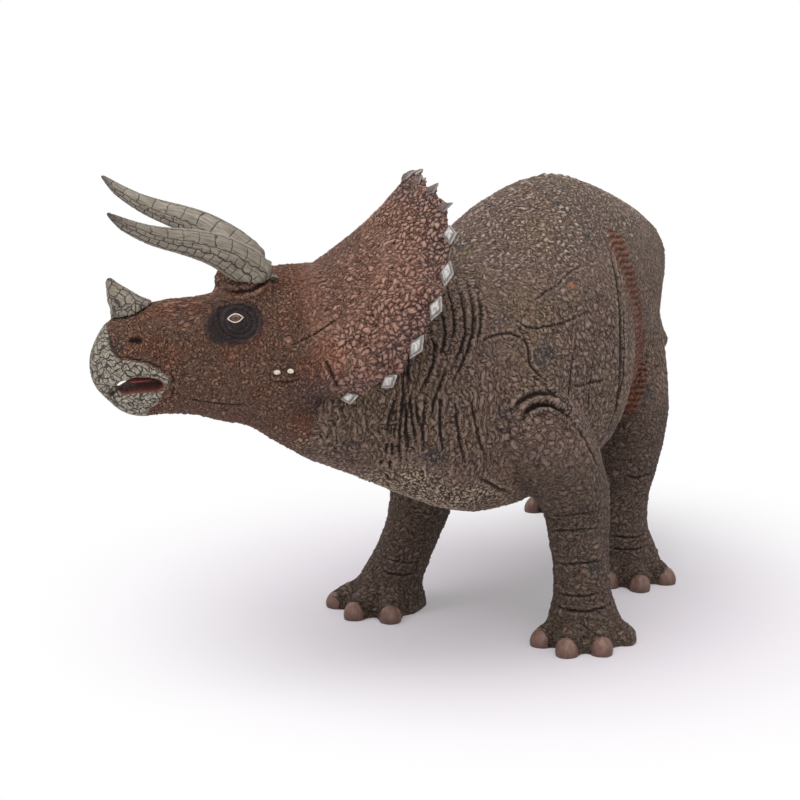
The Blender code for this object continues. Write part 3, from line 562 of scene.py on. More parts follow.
def pressCreases(points):  # millimetres along the normal, with the unseen side mirrored
    form = creaseShape
    shift = np.zeros(len(points))
    crack = np.full(len(points), 3.0)
    search = KDTree(len(points))
    for index, point in enumerate(points):
        search.insert(point, index)
    search.balance()
    for name, (depth, width, lip, pixels) in creases.items():
        line = traceOn(skinTree, pixels)
        lines = [line]
        if name not in legCreases:
            mirrored = mirrorHead if name in headCreases else mirrorBody
            lines.append([skinTree.find_nearest(mirrored(place))[0] for place in line])
        for places in lines:
            nearest = {}
            last = max(len(places) - 1, 1)
            for i, place in enumerate(places):
                taper = min(1.0, form["end"] + form["taper"] * min(i, last - i) / last)
                for _, index, distance in search.find_range(place, width * form["search"] * mm):
                    if index not in nearest or distance < nearest[index][0]:
                        nearest[index] = (distance, taper)
            for index, (distance, taper) in nearest.items():
                d = distance / mm / width
                rise = lip * math.exp(-((d - form["lipPlace"]) / form["lipWidth"]) ** 2)
                shift[index] += taper * (rise - depth * math.exp(-d * d))
                crack[index] = min(crack[index], form["spread"] * d + form["closed"] * (1 - taper))
    return shift, crack


creaseShift, crackGap = pressCreases(points)
print("creases pressed")


# Zones of the skin, from 0 to 1. Outlines are pixels of the photograph, and the far side mirrors the near one.

zonePlan = {
    "beak": ((60, 300), (98, 318), (106, 326), (109, 336), (111, 348), (116, 358), (122, 361), (134, 361), (144, 364),
             (151, 366), (159, 370), (167, 376), (169, 384), (165, 389), (162, 395), (159, 403), (151, 408), (144, 419),
             (140, 440), (60, 440)),
    "eye": ((208, 318), (215, 309), (227, 303), (246, 302), (258, 308), (264, 320), (260, 333), (250, 342), (235, 345),
            (220, 344), (209, 342), (206, 330)),
    "streak": ((150, 290), (200, 285), (244, 262), (262, 290), (236, 304), (210, 314), (190, 330), (165, 326),
               (150, 312)),
    "neck": ((440, 225), (470, 240), (486, 275), (488, 335), (474, 382), (455, 420), (430, 452), (395, 440), (350, 400),
             (385, 385), (420, 345), (440, 300)),
    "throat": ((296, 436), (330, 436), (365, 442), (400, 455), (430, 470), (460, 484), (500, 482), (505, 500),
               (440, 520), (380, 500), (290, 465)),
    "rust": ((612, 232), (622, 240), (633, 270), (641, 305), (644, 340), (641, 375), (632, 402), (622, 410), (622, 372),
             (623, 330), (619, 285), (611, 250)),
    "nostril": ((128, 341), (130, 338), (135, 337.5), (141, 339), (142, 341.5), (138, 344), (132, 344)),
    "corner": ((296, 345), (325, 336), (345, 352), (342, 380), (330, 390), (315, 368)),
}
# Width of each outline's fading edge, in pixels
zoneEdge = {"beak": 0.9, "eye": 4, "streak": 6, "neck": 10, "throat": 11, "nostril": 2.2, "corner": 4}
# Slate patches, the one under the frill a painted shade, and one orange scale: pixel and radius in pixels
slateAndShadePatches = ((545, 355, 17), (590, 240, 12), (640, 392, 18), (322, 402, 18), (117, 347, 8), (440, 455, 12),
                (395, 590, 9), (595, 565, 10), (500, 245, 9), (560, 205, 10))
accentScale = (572, 285, 4)
pixelsPerMm = 4.6
rustFrom = 8  # the belly before this y in millimetres stays free of rust

isHead = (owner == pieceNames.index("headSkin")) | (owner == pieceNames.index("jawSkin"))
isTrunk = (owner == pieceNames.index("torsoSkin")) | (owner == pieceNames.index("tailSkin"))
isLeg = ~(isHead | isTrunk)
x, y, z = (points / mm).T
forward, up, side = headPlaces(points)
nearHead = np.stack([np.abs(side), -forward, up], 1) @ headRows[:3, :3].T + headRows[:3, 3]
nearBody = np.stack([bodyMiddle + np.abs(x - bodyMiddle), y, z], 1)
nearSide = np.where(isHead[:, None], nearHead, nearBody)
pixels = pixelsOf(nearSide * mm)
normals = readNormals(skin.data)
headSideways = np.abs(normals @ headRows[:3, 0])

# Rim of the frill in the head's frame, from the crest to the corner
rimLine = np.array([
    (-15.8, 32.3, 0.0), (-17.6, 32.0, 4.8), (-19.8, 30.9, 9.8), (-20.9, 28.4, 14.2), (-20.9, 23.8, 18.6),
    (-20.0, 18.0, 22.5), (-18.2, 13.4, 25.2), (-15.4, 7.3, 26.5), (-12.0, 1.0, 26.0), (-7.6, -5.0, 24.0),
    (-0.5, -8.6, 20.0), (4.5, -8.9, 15.9),
])


def patchAt(pixel, radius):  # a spot under a pixel and its mirror image, radius in millimetres
    found = traceOn(skinTree, [pixel])
    return ease(np.linalg.norm(nearSide - np.array(found[0]) / mm, axis=1), radius * 1.25, radius * 0.6)


def outlined(name):
    return zoneIn(pixels, zonePlan[name], zoneEdge[name])


def seenPatch(outline, foremost):  # skin that the photograph shows inside an outline, and its mirror image
    low, high = np.min(outline, axis=0), np.max(outline, axis=0)
    spacing = 2.5
    grid = np.array([(u, v) for u in np.arange(low[0], high[0], spacing) for v in np.arange(low[1], high[1], spacing)])
    inside = grid[zoneIn(grid, outline, 0.5) > 0.5]
    found = [place for pixel in inside for place in traceOn(skinTree, [tuple(pixel)]) if place.y > foremost * mm]
    search = KDTree(len(found))
    for index, place in enumerate(found):
        search.insert(place, index)
    search.balance()
    return ease(np.array([search.find(place)[2] for place in nearSide * mm]) / mm, 3.2, 1.0)


rimGap = np.where(isHead, lineGap(np.stack([forward, up, np.abs(side)], 1), rimLine), 99)
zones = {"headZone": isHead.astype(float)}
zones["frill"] = np.where(isHead, ease(-forward + 0.35 * up + 0.25 * np.abs(side), -4.0, 6.0), 0)
zones["beak"] = np.where(isHead, outlined("beak"), 0)
zones["eyeZone"] = np.where(isHead & (np.abs(side) > 5), outlined("eye"), 0)
zones["streak"] = np.where(isHead, outlined("streak"), 0)
zones["streak"] = np.maximum(zones["streak"], zones["frill"] * ease(rimGap, 11, 16))
zones["corner"] = np.where(isHead & (np.abs(side) > 5), outlined("corner"), 0)
zones["throat"] = np.where(isLeg, 0, outlined("throat"))
zones["throat"] = np.maximum(zones["throat"], np.where(isLeg, 0, ease(y, 0, -30) * ease(z, 42, 30) * 0.6))
zones["neck"] = np.where(isLeg, 0, np.maximum(outlined("neck"), ease(y, -44, -54) * isTrunk))
backOfFrill = ease(-forward, 4, 12) * ease(rimGap, 1.5, 3.5) * (normals[:, 1] > 0)
zones["neck"] *= (1 - zones["throat"]) * np.where(isHead, backOfFrill, 1)
zones["legs"] = np.where(isLeg, ease(z, 52, 38), 0)
zones["back"] = np.where(isTrunk, ease(z, 76, 88), 0)
zones["rimBand"] = np.where(isHead, ease(rimGap, 7.5, 3.0), 0)
nearShoulder = ease(np.abs(y + 18), 34, 18) * ease(z, 84, 74)
zones["shoulder"] = np.where(isLeg, ease(z, 36, 44), np.where(isTrunk, nearShoulder, 0))
mouthGap = lineGap(np.stack([forward, up], 1), list(mouthPlan["outline"]) + [mouthPlan["outline"][0]])
zones["inside"] = np.where(isHead & (forward > 33.5), ease(mouthGap, 1.0, 0.6) * ease(headSideways, 0.75, 0.45), 0)
zones["slateAndShade"] = np.max([patchAt((u, v), radius / pixelsPerMm) for u, v, radius in slateAndShadePatches], axis=0)
zones["accent"] = patchAt(accentScale[:2], accentScale[2] / pixelsPerMm)
zones["rust"] = np.where(isHead, 0, seenPatch(zonePlan["rust"], rustFrom))
zones["nostril"] = np.where(isHead & (np.abs(side) > 2), outlined("nostril"), 0)
zones["crack"] = crackGap
for name, worth in zones.items():
    setField(skin.data, name, worth)
setField(skin.data, "headPlace", np.stack([side, -forward, up], 1))
print("zones set")


# Moulded pattern, the same in the mesh and in the paint. Sizes of a scale in millimetres, x, y and z.

scaleSizes = {"pebble": (1.65, 1.65, 1.65), "shield": (1.15, 1.15, 1.15), "small": (1.05, 1.05, 1.05),
              "tiny": (0.78, 0.78, 0.78), "folds": (1.1, 1.1, 5.0), "rings": (1.7, 1.7, 0.95),
              "back": (1.05, 3.0, 1.05),
              "dashes": (0.8, 2.2, 0.9), "streaks": (0.8, 4.6, 0.8), "micro": (0.62, 0.62, 0.62)}


def mouldPlaces(net):  # places in the body and in the head, swayed so that no line stays straight
    place = net.vector("MULTIPLY", net.make("GeometryNodeInputPosition"), (1000, 1000, 1000))
    moved = net.vector("ADD", net.sway(place, 6, 2.0, 5.0), net.sway(place, 1.3, 1.0, 1.9))
    return {"mould": net.vector("ADD", place, moved),
            "mouldHead": net.vector("ADD", net.field("headPlace", True), moved)}


def skinCells(net):  # distance from the nearest groove, about 0.5 in the middle of a scale
    place, headPlace = net.field("mould", True), net.field("mouldHead", True)

    def scales(name, at=place):  # scales with worm-like wrinkles across them
        size = scaleSizes[name]
        worms = net.maths("ABSOLUTE", net.cloud(at, [side * 1.15 for side in size], 1.0) - 0.5) * 1.9
        return net.maths("MINIMUM", net.cells(at, size), worms + 0.02)

    patch = net.step(net.cloud(place, (9, 9, 9), 1.0), 0.42, 0.60)
    small, pebble = scales("small"), scales("pebble")
    body = net.blend(small, pebble, net.blend(patch * 0.75, 0.9, net.field("shoulder")))
    body = net.blend(body, scales("back"), net.field("back") * 0.7)
    body = net.blend(body, scales("folds") * 0.8 + small * 0.2, net.field("neck"))
    body = net.blend(body, scales("rings") * 0.75 + small * 0.25, net.field("legs"))
    body = net.blend(body, net.cells(place, scaleSizes["dashes"]), net.field("throat"))
    shield = net.cells(place, scaleSizes["shield"])
    head = net.blend(scales("tiny"), shield, net.field("frill") * (0.65 + 0.35 * patch))
    head = net.blend(head, scales("streaks", headPlace), net.field("streak"))
    return net.blend(body, head, net.field("headZone") * (1 - net.field("neck")))


bakeFields(skin, mouldPlaces)
bakeFields(skin, lambda net: {"dome": net.step(skinCells(net), 0.0, 0.30)})
dome = getField(skin.data, "dome")
print("pattern baked")

# Height of the scales in millimetres
reliefPlan = {"neck": 0.45, "legs": 0.32, "throat": 0.34, "frill": 0.30, "streak": 0.20, "beak": 0.0, "eyeZone": 0.05,
              "inside": 0.0}
bodyRelief = 0.30
eyeRings = {"forward": 20.5, "up": 5.4, "squash": 0.9, "middle": 3.4, "width": 1.9, "start": 2.2, "spacing": 1.05,
            "height": 0.20}
pleats = {"spacing": 1.45, "wave": 2.5, "bend": 1.8, "height": 0.32}
spine = {"width": 1.4, "spacing": 6.0, "slope": 0.6, "height": 0.65}
fullTurn = 2 * math.pi


def raiseRelief():
    height = np.full(len(points), bodyRelief)
    for name, own in reliefPlan.items():
        height += (own - height) * zones[name]
    shift = (dome - 0.62) * height + creaseShift
    # rings round the eye
    gap = np.hypot(forward - eyeRings["forward"], (up - eyeRings["up"]) / eyeRings["squash"])
    wave = np.cos((gap - eyeRings["start"]) * fullTurn / eyeRings["spacing"]) * eyeRings["height"]
    shift += np.where(isHead & (np.abs(side) > 5), bump(gap - eyeRings["middle"], eyeRings["width"]) * wave, 0)
    # folds across the rust band beside the thigh groove
    wave = np.cos(z / pleats["spacing"] * fullTurn + np.sin(y / pleats["wave"]) * pleats["bend"])
    shift += zones["rust"] * wave * pleats["height"]
    # row of low bumps along the spine and rump
    ridge = np.where(isTrunk, bump(np.abs(x - bodyMiddle), spine["width"]) * ease(z, 45, 60) * ease(y, -20, 5), 0)
    wave = np.cos((y + spine["slope"] * (100 - z)) / spine["spacing"] * fullTurn)
    shift += ridge * np.clip(wave, 0, 1) ** 2 * spine["height"]
    shift += zones["accent"] * 0.3 - zones["nostril"] * 0.9
    return shift * ease(z, 0.5, 2.0)


points = points + normals * (raiseRelief() * mm)[:, None]
points[:, 2] = np.maximum(points[:, 2], 0.0)
writePoints(skin.data, points)
print("relief raised")


# Horns: lengthwise grain, brick-like cracks and dark tips

hornPlan = {
    "brow_horn_left": {"name": "browHornLeft", "side": 1},
    "brow_horn_right": {"name": "browHornRight", "side": -1},
    "nose_horn": {"name": "noseHorn", "side": 0},
}
hornAxis = ((14.2, 9.6, 5.6), (17.6, 15.0, 7.0), (22.3, 18.6, 9.2), (26.3, 20.8, 11.2), (30.5, 22.3, 13.0),
            (34.5, 23.4, 15.1), (39.0, 25.1, 17.2), (43.2, 27.4, 19.5), (46.5, 30.0, 21.5))
noseAxis = ((40.6, 2.5, 0), (41.0, 5.7, 0), (41.8, 7.4, 0), (43.0, 8.3, 0), (44.2, 9.8, 0), (45.4, 11.3, 0),
            (45.9, 12.6, 0))
hornPaint = {"base": "696156", "light": "8b8274", "dark": "4f483f", "crack": "191512", "tip": "4c3d36",
             "blush": "7a6759", "crackWidth": 0.13}
hornShape = {"voxel": 0.45, "rounds": 8, "crackWidth": 0.20, "crackDepth": 0.12, "collar": 5.2, "collarHigh": 0.35,
             "tuck": 1.5, "girth": 2.3}


def lengthAlong(axis, places):  # millimetres along an axis and the offset from it
    best = np.full(len(places), 1e9)
    run = np.zeros(len(places))
    offset = np.zeros((len(places), 3))
    total = 0.0
    for a, b in zip(axis, axis[1:]):
        a, b = np.array(a), np.array(b)
        length = np.linalg.norm(b - a)
        along = np.clip(((places - a) @ (b - a)) / length ** 2, 0, 1)
        gap = places - a - along[:, None] * (b - a)
        distance = np.linalg.norm(gap, axis=1)
        closer = distance < best
        best = np.where(closer, distance, best)
        run = np.where(closer, total + along * length, run)
        offset = np.where(closer[:, None], gap, offset)
        total += length
    return run, offset, total


def hornCracks(net, width):  # 0 in a crack, 1 on the horn
    place, low = net.field("mould", True), net.field("low")
    wander = net.cloud(place, (3, 3, 3), 2.0)
    bent = net.vector("ADD", place, net.sway(place, 1.6, 2.0, 1.1))

    def bricks(length, height, line):
        return 1 - net.make("ShaderNodeTexBrick", {"offset": 0.37, "squash_frequency": 3, "squash": 1.35},
                            {"Vector": bent, "Scale": 1.0, "Mortar Size": line, "Mortar Smooth": 0.6,
                             "Brick Width": length, "Row Height": height}, "Fac")

    below = net.step(low + (wander - 0.5) * 0.8, 0.12, -0.08)
    brow = net.blend(bricks(3.6, 2.6, width * 0.75), bricks(2.1, 1.4, width), below)
    nose = net.step(net.cells(bent, (1.7, 1.5, 1.5)), width * 0.1, width * 0.62)
    return net.blend(brow, nose, net.field("nose"))


def makeHornPaint():
    paint = Paint("hornPaint")
    look = hornPaint
    share, place = paint.field("share"), paint.field("mould", True)
    grain = paint.cloud(place, (3.0, 0.22, 0.22), 3.0, 0.6)
    broad = paint.cloud(place, (3.0, 2.0, 2.0), 2.0)
    speck = paint.cloud(place, (0.5, 0.5, 0.5), 2.0)
    cracks = hornCracks(paint, look["crackWidth"])
    shade = paint.mix(paint.step(grain, 0.36, 0.62), look["base"], look["light"])
    shade = paint.mix(paint.step(grain, 0.40, 0.33) * 0.5, shade, look["dark"])
    shade = paint.mix(paint.step(broad, 0.52, 0.72) * 0.45, shade, look["blush"])
    shade = paint.mix(paint.step(share + (speck - 0.5) * 0.3, 0.84, 1.0) * 0.85, shade, look["tip"])
    # painted shade: darker towards the base, where the horn meets the skin
    shade = paint.mix(paint.step(share, 0.16, 0.02) * 0.35, shade, look["dark"])
    shade = paint.mix((1 - cracks) * 0.9, shade, look["crack"])
    paint.feed("Base Color", shade)
    paint.feed("Roughness", paint.step(grain, 0.3, 0.7, 0.62, 0.48))
    paint.feed("Normal", paint.bumpNormal(cracks * 0.7 + grain * 0.5, 0.22, 0.9))
    return paint.material


def makeHorn(node, plan, material):
    piece = addPiece(plan["name"], meshOf(plan["name"], swollenShape(node, 0.02 * mm)))
    remesh(piece, hornShape["voxel"] * mm, hornShape["rounds"])
    mesh = piece.data
    places = np.stack(headPlaces(readPoints(mesh)), 1)
    axis = noseAxis if plan["side"] == 0 else [(f, u, s * plan["side"]) for f, u, s in hornAxis]
    run, offset, total = lengthAlong(axis, places)
    radius = np.maximum(np.linalg.norm(offset, axis=1), 0.3)
    isNose = plan["side"] == 0
    setField(mesh, "share", run / total)
    setField(mesh, "low", offset[:, 1] / radius)
    setField(mesh, "nose", np.full(len(run), float(isNose)))
    if isNose:
        mould = np.stack([run, offset[:, 0], offset[:, 2]], 1)
    else:
        around = np.arctan2(offset[:, 1], offset[:, 2]) * hornShape["girth"]
        mould = np.stack([run, around, np.zeros(len(run))], 1) + 20.4
    setField(mesh, "mould", mould)
    bakeFields(piece, lambda net: {"relief": hornCracks(net, hornShape["crackWidth"])})
    mesh = piece.data
    shift = (getField(mesh, "relief") - 1) * hornShape["crackDepth"] * (1 - ease(run / total, 0.85, 1.0))
    if not isNose:  # the base is tucked in behind, with a collar above it
        behind = np.clip(0.3 - offset[:, 0] / radius, 0, 1) * hornShape["tuck"]
        shift += bump(run - hornShape["collar"], 1.1) * hornShape["collarHigh"] - ease(run, 5.0, 1.0) * behind
    shift += np.sin(offset[:, 1] * 4 + run * 0.3) * 0.03
    writePoints(mesh, readPoints(mesh) + readNormals(mesh) * (shift * mm)[:, None])
    mesh.materials.append(material)
    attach(piece, "root")
    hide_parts(node)
    return piece


hornMaterial = makeHornPaint()
horns = [makeHorn(node, plan, hornMaterial) for node, plan in hornPlan.items()]
print("horns", sum(len(piece.data.polygons) for piece in horns))


# Studs on the frill's rim: dark spikes on top, pale diamonds with dark edges lower down

studPlan = {
    "spikes": {0.0: 2.2, 0.075: 1.7, 0.165: 2.3, 0.27: 2.5},
    "diamonds": {0.365: 2.3, 0.475: 2.9, 0.585: 2.7, 0.695: 2.9, 0.805: 2.3, 0.9: 2.0},
    "spike": {"half": 1.25, "inward": 1.2, "thick": 0.9, "keen": 0.95, "shift": 0.0},
    "diamond": {"outward": 1.45, "inward": 1.595, "thick": 1.1, "keen": 1.05, "shift": 0.75},
    "sides": 24,
    # across a stud from front to back: place, then width there
    "levels": ((-1.0, 0.05), (-0.8, 0.40), (-0.45, 0.80), (0.0, 1.0), (0.45, 0.80), (0.62, 0.62), (0.8, 0.40),
               (1.0, 0.05)),
}
studPaint = {"pale": ("8f8a85", "c4c2be"), "frame": "4a3d3b", "spike": ("4d403f", "6d5a55"), "tip": "b5aeaa",
             "dirtAndShade": "544642"}


def rimPlace(turn):
    count = len(rimLine) - 1
    place = min(abs(turn), 1) * count
    i = min(int(place), count - 1)
    point = rimLine[i] + (rimLine[i + 1] - rimLine[i]) * (place - i)
    return np.array((point[0], point[1], point[2] * (1 if turn >= 0 else -1)))


def rimDirections(turn):  # centre of the stud, then along, outward and front
    here, before, after = rimPlace(turn), rimPlace(turn - 0.03), rimPlace(turn + 0.03)
    centre = headPoint(*here)
    along = (headPoint(*after) - headPoint(*before)).normalized()
    inner = headPoint(*(here * np.array((0.55, 0.75, 0.8)) + np.array((2.0, 0.5, 0))))
    outward = centre - inner
    outward = (outward - along * outward.dot(along)).normalized()
    return centre, along, outward, along.cross(outward).normalized()


def makeStud(turn, half, outward, inward, thick, keen, shift, worth):  # worth takes the width at each corner
    centre, along, out, front = rimDirections(turn)
    centre = centre + out * (shift * mm)
    shape = bmesh.new()
    rows = []
    for level, spread in studPlan["levels"]:
        row = []
        for i in range(studPlan["sides"]):
            angle = 2 * math.pi * i / studPlan["sides"]
            a, o = math.cos(angle), math.sin(angle)
            size = spread / (abs(a) ** keen + abs(o) ** keen) ** (1 / keen)
            reach = outward if o > 0 else inward
            row.append(shape.verts.new(centre + (along * (a * size * half) + out * (o * size * reach)
                                                 + front * (level * thick)) * mm))
            worth.append(spread)
        rows.append(row)
    joinRows(shape, rows)
    shape.faces.new(rows[0])
    shape.faces.new(list(reversed(rows[-1])))
    return shape


def makeStuds():
    shapes, worth, dark = [], [], []
    for kind in ("spikes", "diamonds"):
        for turn, size in studPlan[kind].items():
            for sign in ((1, -1) if turn else (1,)):
                if kind == "spikes":
                    shape = makeStud(turn * sign, outward=size, worth=worth, **studPlan["spike"])
                else:
                    shape = makeStud(turn * sign, half=size, worth=worth, **studPlan["diamond"])
                dark += [kind == "spikes"] * len(shape.verts)
                shapes.append(shape)
    mesh = meshOf("rimStuds", *shapes)
    setField(mesh, "spread", np.array(worth, float))
    setField(mesh, "dark", np.array(dark, float))
    return addPiece("rimStuds", mesh)


def makeStudPaint():
    paint = Paint("studPaint")
    look = studPaint
    place = paint.objectPlace()
    spread, dark = paint.field("spread"), paint.field("dark")
    grain = paint.cloud(place, (0.35, 0.35, 1.4), 3.0, 0.6)
    chips = paint.cloud(place, (0.8, 0.8, 0.8), 3.0, 0.6)
    pale = paint.mix(paint.step(grain, 0.36, 0.66), *look["pale"])
    frameLine = paint.step(spread, 0.55, 0.68) * paint.step(spread, 0.95, 0.82)
    pale = paint.mix(frameLine * 0.7, pale, look["frame"])
    horny = paint.mix(paint.step(chips, 0.45, 0.6), *look["spike"])
    horny = paint.mix(paint.step(spread, 0.80, 0.98) * 0.6, horny, look["tip"])
    shade = paint.mix(dark, pale, horny)
    paint.feed("Base Color", paint.mix(paint.step(chips, 0.62, 0.72) * 0.5, shade, look["dirtAndShade"]))
    paint.feed("Roughness", paint.step(chips, 0.3, 0.7, 0.48, 0.66))
    paint.feed("Normal", paint.bumpNormal(grain, 0.14, 0.7))
    return paint.material


studs = makeStuds()
studs.data.materials.append(makeStudPaint())
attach(studs, "root")
print("studs", len(studs.data.polygons))


# Claws: blunt nails at the tips of the toes

clawPlan = {
    "frontLeftClaws": {"foot": (41.6, -28.56), "radius": 9.0, "toes": ((-42, 0.68), (1, 0.85), (40, 0.68))},
    "frontRightClaws": {"foot": (-9.2, -23.90), "radius": 9.0, "toes": ((-62, 0.82), (-14, 0.88), (27, 0.86))},
    "rearLeftClaws": {"foot": (35.3, 23.53), "radius": 8.8, "toes": ((-4, 0.76), (32, 0.98), (76, 0.76))},
    "rearRightClaws": {"foot": (-0.06, 82.31), "radius": 8.8, "toes": ((-38, 0.84), (-2, 0.96), (40, 0.84))},
}
clawShape = {"length": 3.0, "width": 2.65, "high": 3.2, "reach": 4.45, "lift": 1.0, "narrow": 0.16, "flat": 0.14}
clawPaint = {"tan": ("66493d", "836355"), "low": "4f3b34", "speck": "5b463c"}


def makeClaw(foot, radius, degrees, reach):
    angle = math.radians(degrees)
    heading = Vector((math.sin(angle), -math.cos(angle), 0))
    across = Vector((heading.y, -heading.x, 0))
    centre = Vector((*foot, 0)) + heading * (radius * reach + clawShape["reach"])

    def placeOf(a, f, h):
        tip = max(f, 0) ** 2
        width = clawShape["width"] * (1 - clawShape["narrow"] * tip)
        place = centre + heading * (f * clawShape["length"]) + across * (a * width)
        place.z = max(clawShape["lift"] + h * clawShape["high"] * (1 - clawShape["flat"] * tip), 0.05)
        return place * mm

    return ballOf(32, 20, placeOf)


def makeClawPaint():
    paint = Paint("clawPaint")
    place = paint.objectPlace()
    streak = paint.cloud(place, (0.9, 0.9, 2.6), 3.0, 0.55)
    fine = paint.cloud(place, (0.35, 0.35, 0.35), 2.0)
    low = paint.step(paint.make("ShaderNodeSeparateXYZ", {}, {0: place}, 2), 0.2, 3.4)
    tan = paint.mix(paint.step(streak, 0.35, 0.7), *clawPaint["tan"])
    # painted shade: the claw darker towards the floor
    tan = paint.mix((1 - low) * 0.5, tan, clawPaint["low"])
    paint.feed("Base Color", paint.mix(paint.step(fine, 0.55, 0.75) * 0.3, tan, clawPaint["speck"]))
    paint.feed("Roughness", paint.step(fine, 0.3, 0.7, 0.42, 0.56))
    paint.feed("Normal", paint.bumpNormal(streak * 0.6 + fine * 0.4, 0.08, 0.6))
    return paint.material


clawMaterial = makeClawPaint()
claws = []
for name, plan in clawPlan.items():
    piece = addPiece(name, meshOf(name, *[makeClaw(plan["foot"], plan["radius"], *toe) for toe in plan["toes"]]))
    piece.data.materials.append(clawMaterial)
    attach(piece, "root")
    claws.append(piece)
print("claws", len(claws))


# Eyes with their lids, and pale studs on the cheeks

eyePlan = {"forward": 21.1, "up": 6.3, "length": 1.36, "height": 0.86, "bulge": 0.34, "iris": 0.84, "tilt": 4,
           "raised": 0.10, "lid": 0.12, "lidLength": 1.15, "lidRaised": 0.16, "lidTurns": 64, "lidSides": 10}
eyePaint = {"iris": ("3a1d15", "6b3a29"), "pupil": "0b0807", "rim": "1a100d", "corner": "3d2620",
            "white": ("c9bfae", "e6dccb")}
onLid = 9.0  # value of the ring field on the lid
cheekPlan = {"pixels": ((277, 372), (291, 371)), "size": (0.74, 0.50, 0.42), "raised": 0.22,
             "colours": ("b3a595", "e3d9cb")}


def surfaceFrame(place, normal):  # ahead, above and outward on the head
    out = normal.normalized()
    ahead = headMatrix.to_3x3() @ Vector((0, -1, 0))
    ahead = (ahead - out * ahead.dot(out)).normalized()
    above = ahead.cross(out)
    if above.z < 0:
        above = -above
    return ahead, above, out


def makeEye(sign):
    toward = headMatrix.to_3x3() @ Vector((-sign, 0, 0))
    place, normal, _, _ = skinTree.ray_cast(headPoint(eyePlan["forward"], eyePlan["up"], 40 * sign), toward)
    ahead, above, out = surfaceFrame(place, normal * 0.5 - toward)
    tilt = Matrix.Rotation(math.radians(eyePlan["tilt"] * sign), 3, out)
    ahead, above = tilt @ ahead, tilt @ above
    place = place + out * eyePlan["raised"] * mm
    rings = []

    def placeOf(a, b, c):
        slim = max(1 - abs(a) ** 1.8, 0) ** 0.35
        flat = (a * eyePlan["length"], b * eyePlan["height"] * slim)
        rings.append(math.hypot(*flat) / eyePlan["iris"])
        return place + (ahead * flat[0] + above * flat[1] + out * (c * eyePlan["bulge"])) * mm

    ball = ballOf(48, 32, placeOf)
    lid = bmesh.new()
    count, sides = eyePlan["lidTurns"], eyePlan["lidSides"]
    rows = []
    for i in range(count):
        angle = fullTurn * i / count
        a, b = math.cos(angle), math.sin(angle)
        slim = 1 - abs(a) ** 1.9
        middle = place + (ahead * (a * eyePlan["length"] * eyePlan["lidLength"])
                          + above * (math.copysign(slim, b) * eyePlan["height"]) + out * eyePlan["lidRaised"]) * mm
        spoke = (ahead * a + above * b).normalized()
        rows.append([lid.verts.new(middle + (spoke * math.cos(t) + out * math.sin(t)) * (eyePlan["lid"] * mm))
                     for t in (fullTurn * j / sides for j in range(sides))])
        rings += [onLid] * sides
    joinRows(lid, rows + rows[:1])
    return [ball, lid], rings


def makeCheekStud(place):
    found, normal, _, _ = skinTree.find_nearest(place)
    ahead, above, out = surfaceFrame(found, normal)
    length, height, depth = cheekPlan["size"]
    return ballOf(32, 20, lambda a, b, c: found + (ahead * (a * length) + above * (b * height)
                                                   + out * (c * depth + cheekPlan["raised"])) * mm)


def makeEyePaint():
    paint = Paint("eyePaint")
    place = paint.objectPlace()
    ring = paint.field("ring")
    rays = paint.cloud(place, (0.18, 0.18, 0.18), 3.0)
    white = paint.mix(paint.step(rays, 0.4, 0.7), *eyePaint["white"])
    iris = paint.mix(paint.step(rays, 0.35, 0.65), *eyePaint["iris"])
    iris = paint.mix(paint.step(ring, 0.45, 0.36), iris, eyePaint["pupil"])
    iris = paint.mix(paint.step(ring, 0.84, 0.98), iris, eyePaint["rim"])
    iris = paint.mix(paint.step(ring, 1.02, 1.15), iris, eyePaint["corner"])
    iris = paint.mix(paint.step(ring, 1.45, 1.60), iris, white)
    paint.feed("Base Color", iris)
    paint.feed("Roughness", paint.step(ring, 1.0, 2.0, 0.25, 0.55))
    paint.feed("Coat Weight", paint.step(ring, 2.0, 1.0) * 0.25)
    paint.feed("Normal", paint.bumpNormal(rays, 0.02, 0.3))
    return paint.material


def makeCheekPaint():
    paint = Paint("cheekPaint")
    place = paint.objectPlace()
    mottle = paint.cloud(place, (0.4, 0.4, 0.4), 3.0)
    paint.feed("Base Color", paint.mix(paint.step(mottle, 0.35, 0.7), *cheekPlan["colours"]))
    paint.feed("Roughness", paint.step(mottle, 0.3, 0.7, 0.4, 0.6))
    paint.feed("Normal", paint.bumpNormal(mottle, 0.08, 0.6))
    return paint.material


eyeShapes, eyeRings = [], []
for sign in (1, -1):
    shapes, rings = makeEye(sign)
    eyeShapes += shapes
    eyeRings += rings
eyes = addPiece("eyes", meshOf("eyes", *eyeShapes))
setField(eyes.data, "ring", np.array(eyeRings))
eyes.data.materials.append(makeEyePaint())
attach(eyes, "root")

cheekPlaces = [traceOn(skinTree, [pixel])[0] for pixel in cheekPlan["pixels"]]
cheeks = addPiece("cheekStuds", meshOf("cheekStuds", *[makeCheekStud(place) for near in cheekPlaces
                                                       for place in (near, mirrorHead(near))]))
cheeks.data.materials.append(makeCheekPaint())
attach(cheeks, "root")
print("eyes and cheeks")


# Tongue

tonguePaint = ("8b4f49", "a8685f")


def makeTongue():
    piece = addPiece("tonguePad", meshOf("tonguePad", swollenShape("tongue", 0.0)))
    remesh(piece, 0.3 * mm, 4)
    paint = Paint("tonguePaint")
    place = paint.objectPlace()
    dots = paint.cells(place, (0.45, 0.45, 0.45))
    blotch = paint.cloud(place, (1.6, 1.6, 1.6), 2.0)
    paint.feed("Base Color", paint.mix(paint.step(blotch, 0.35, 0.65), *tonguePaint))
    paint.feed("Roughness", paint.step(blotch, 0.3, 0.7, 0.35, 0.5))
    paint.feed("Normal", paint.bumpNormal(dots, 0.10, 0.6))
    piece.data.materials.append(paint.material)
    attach(piece, "root")
    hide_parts("tongue")


makeTongue()
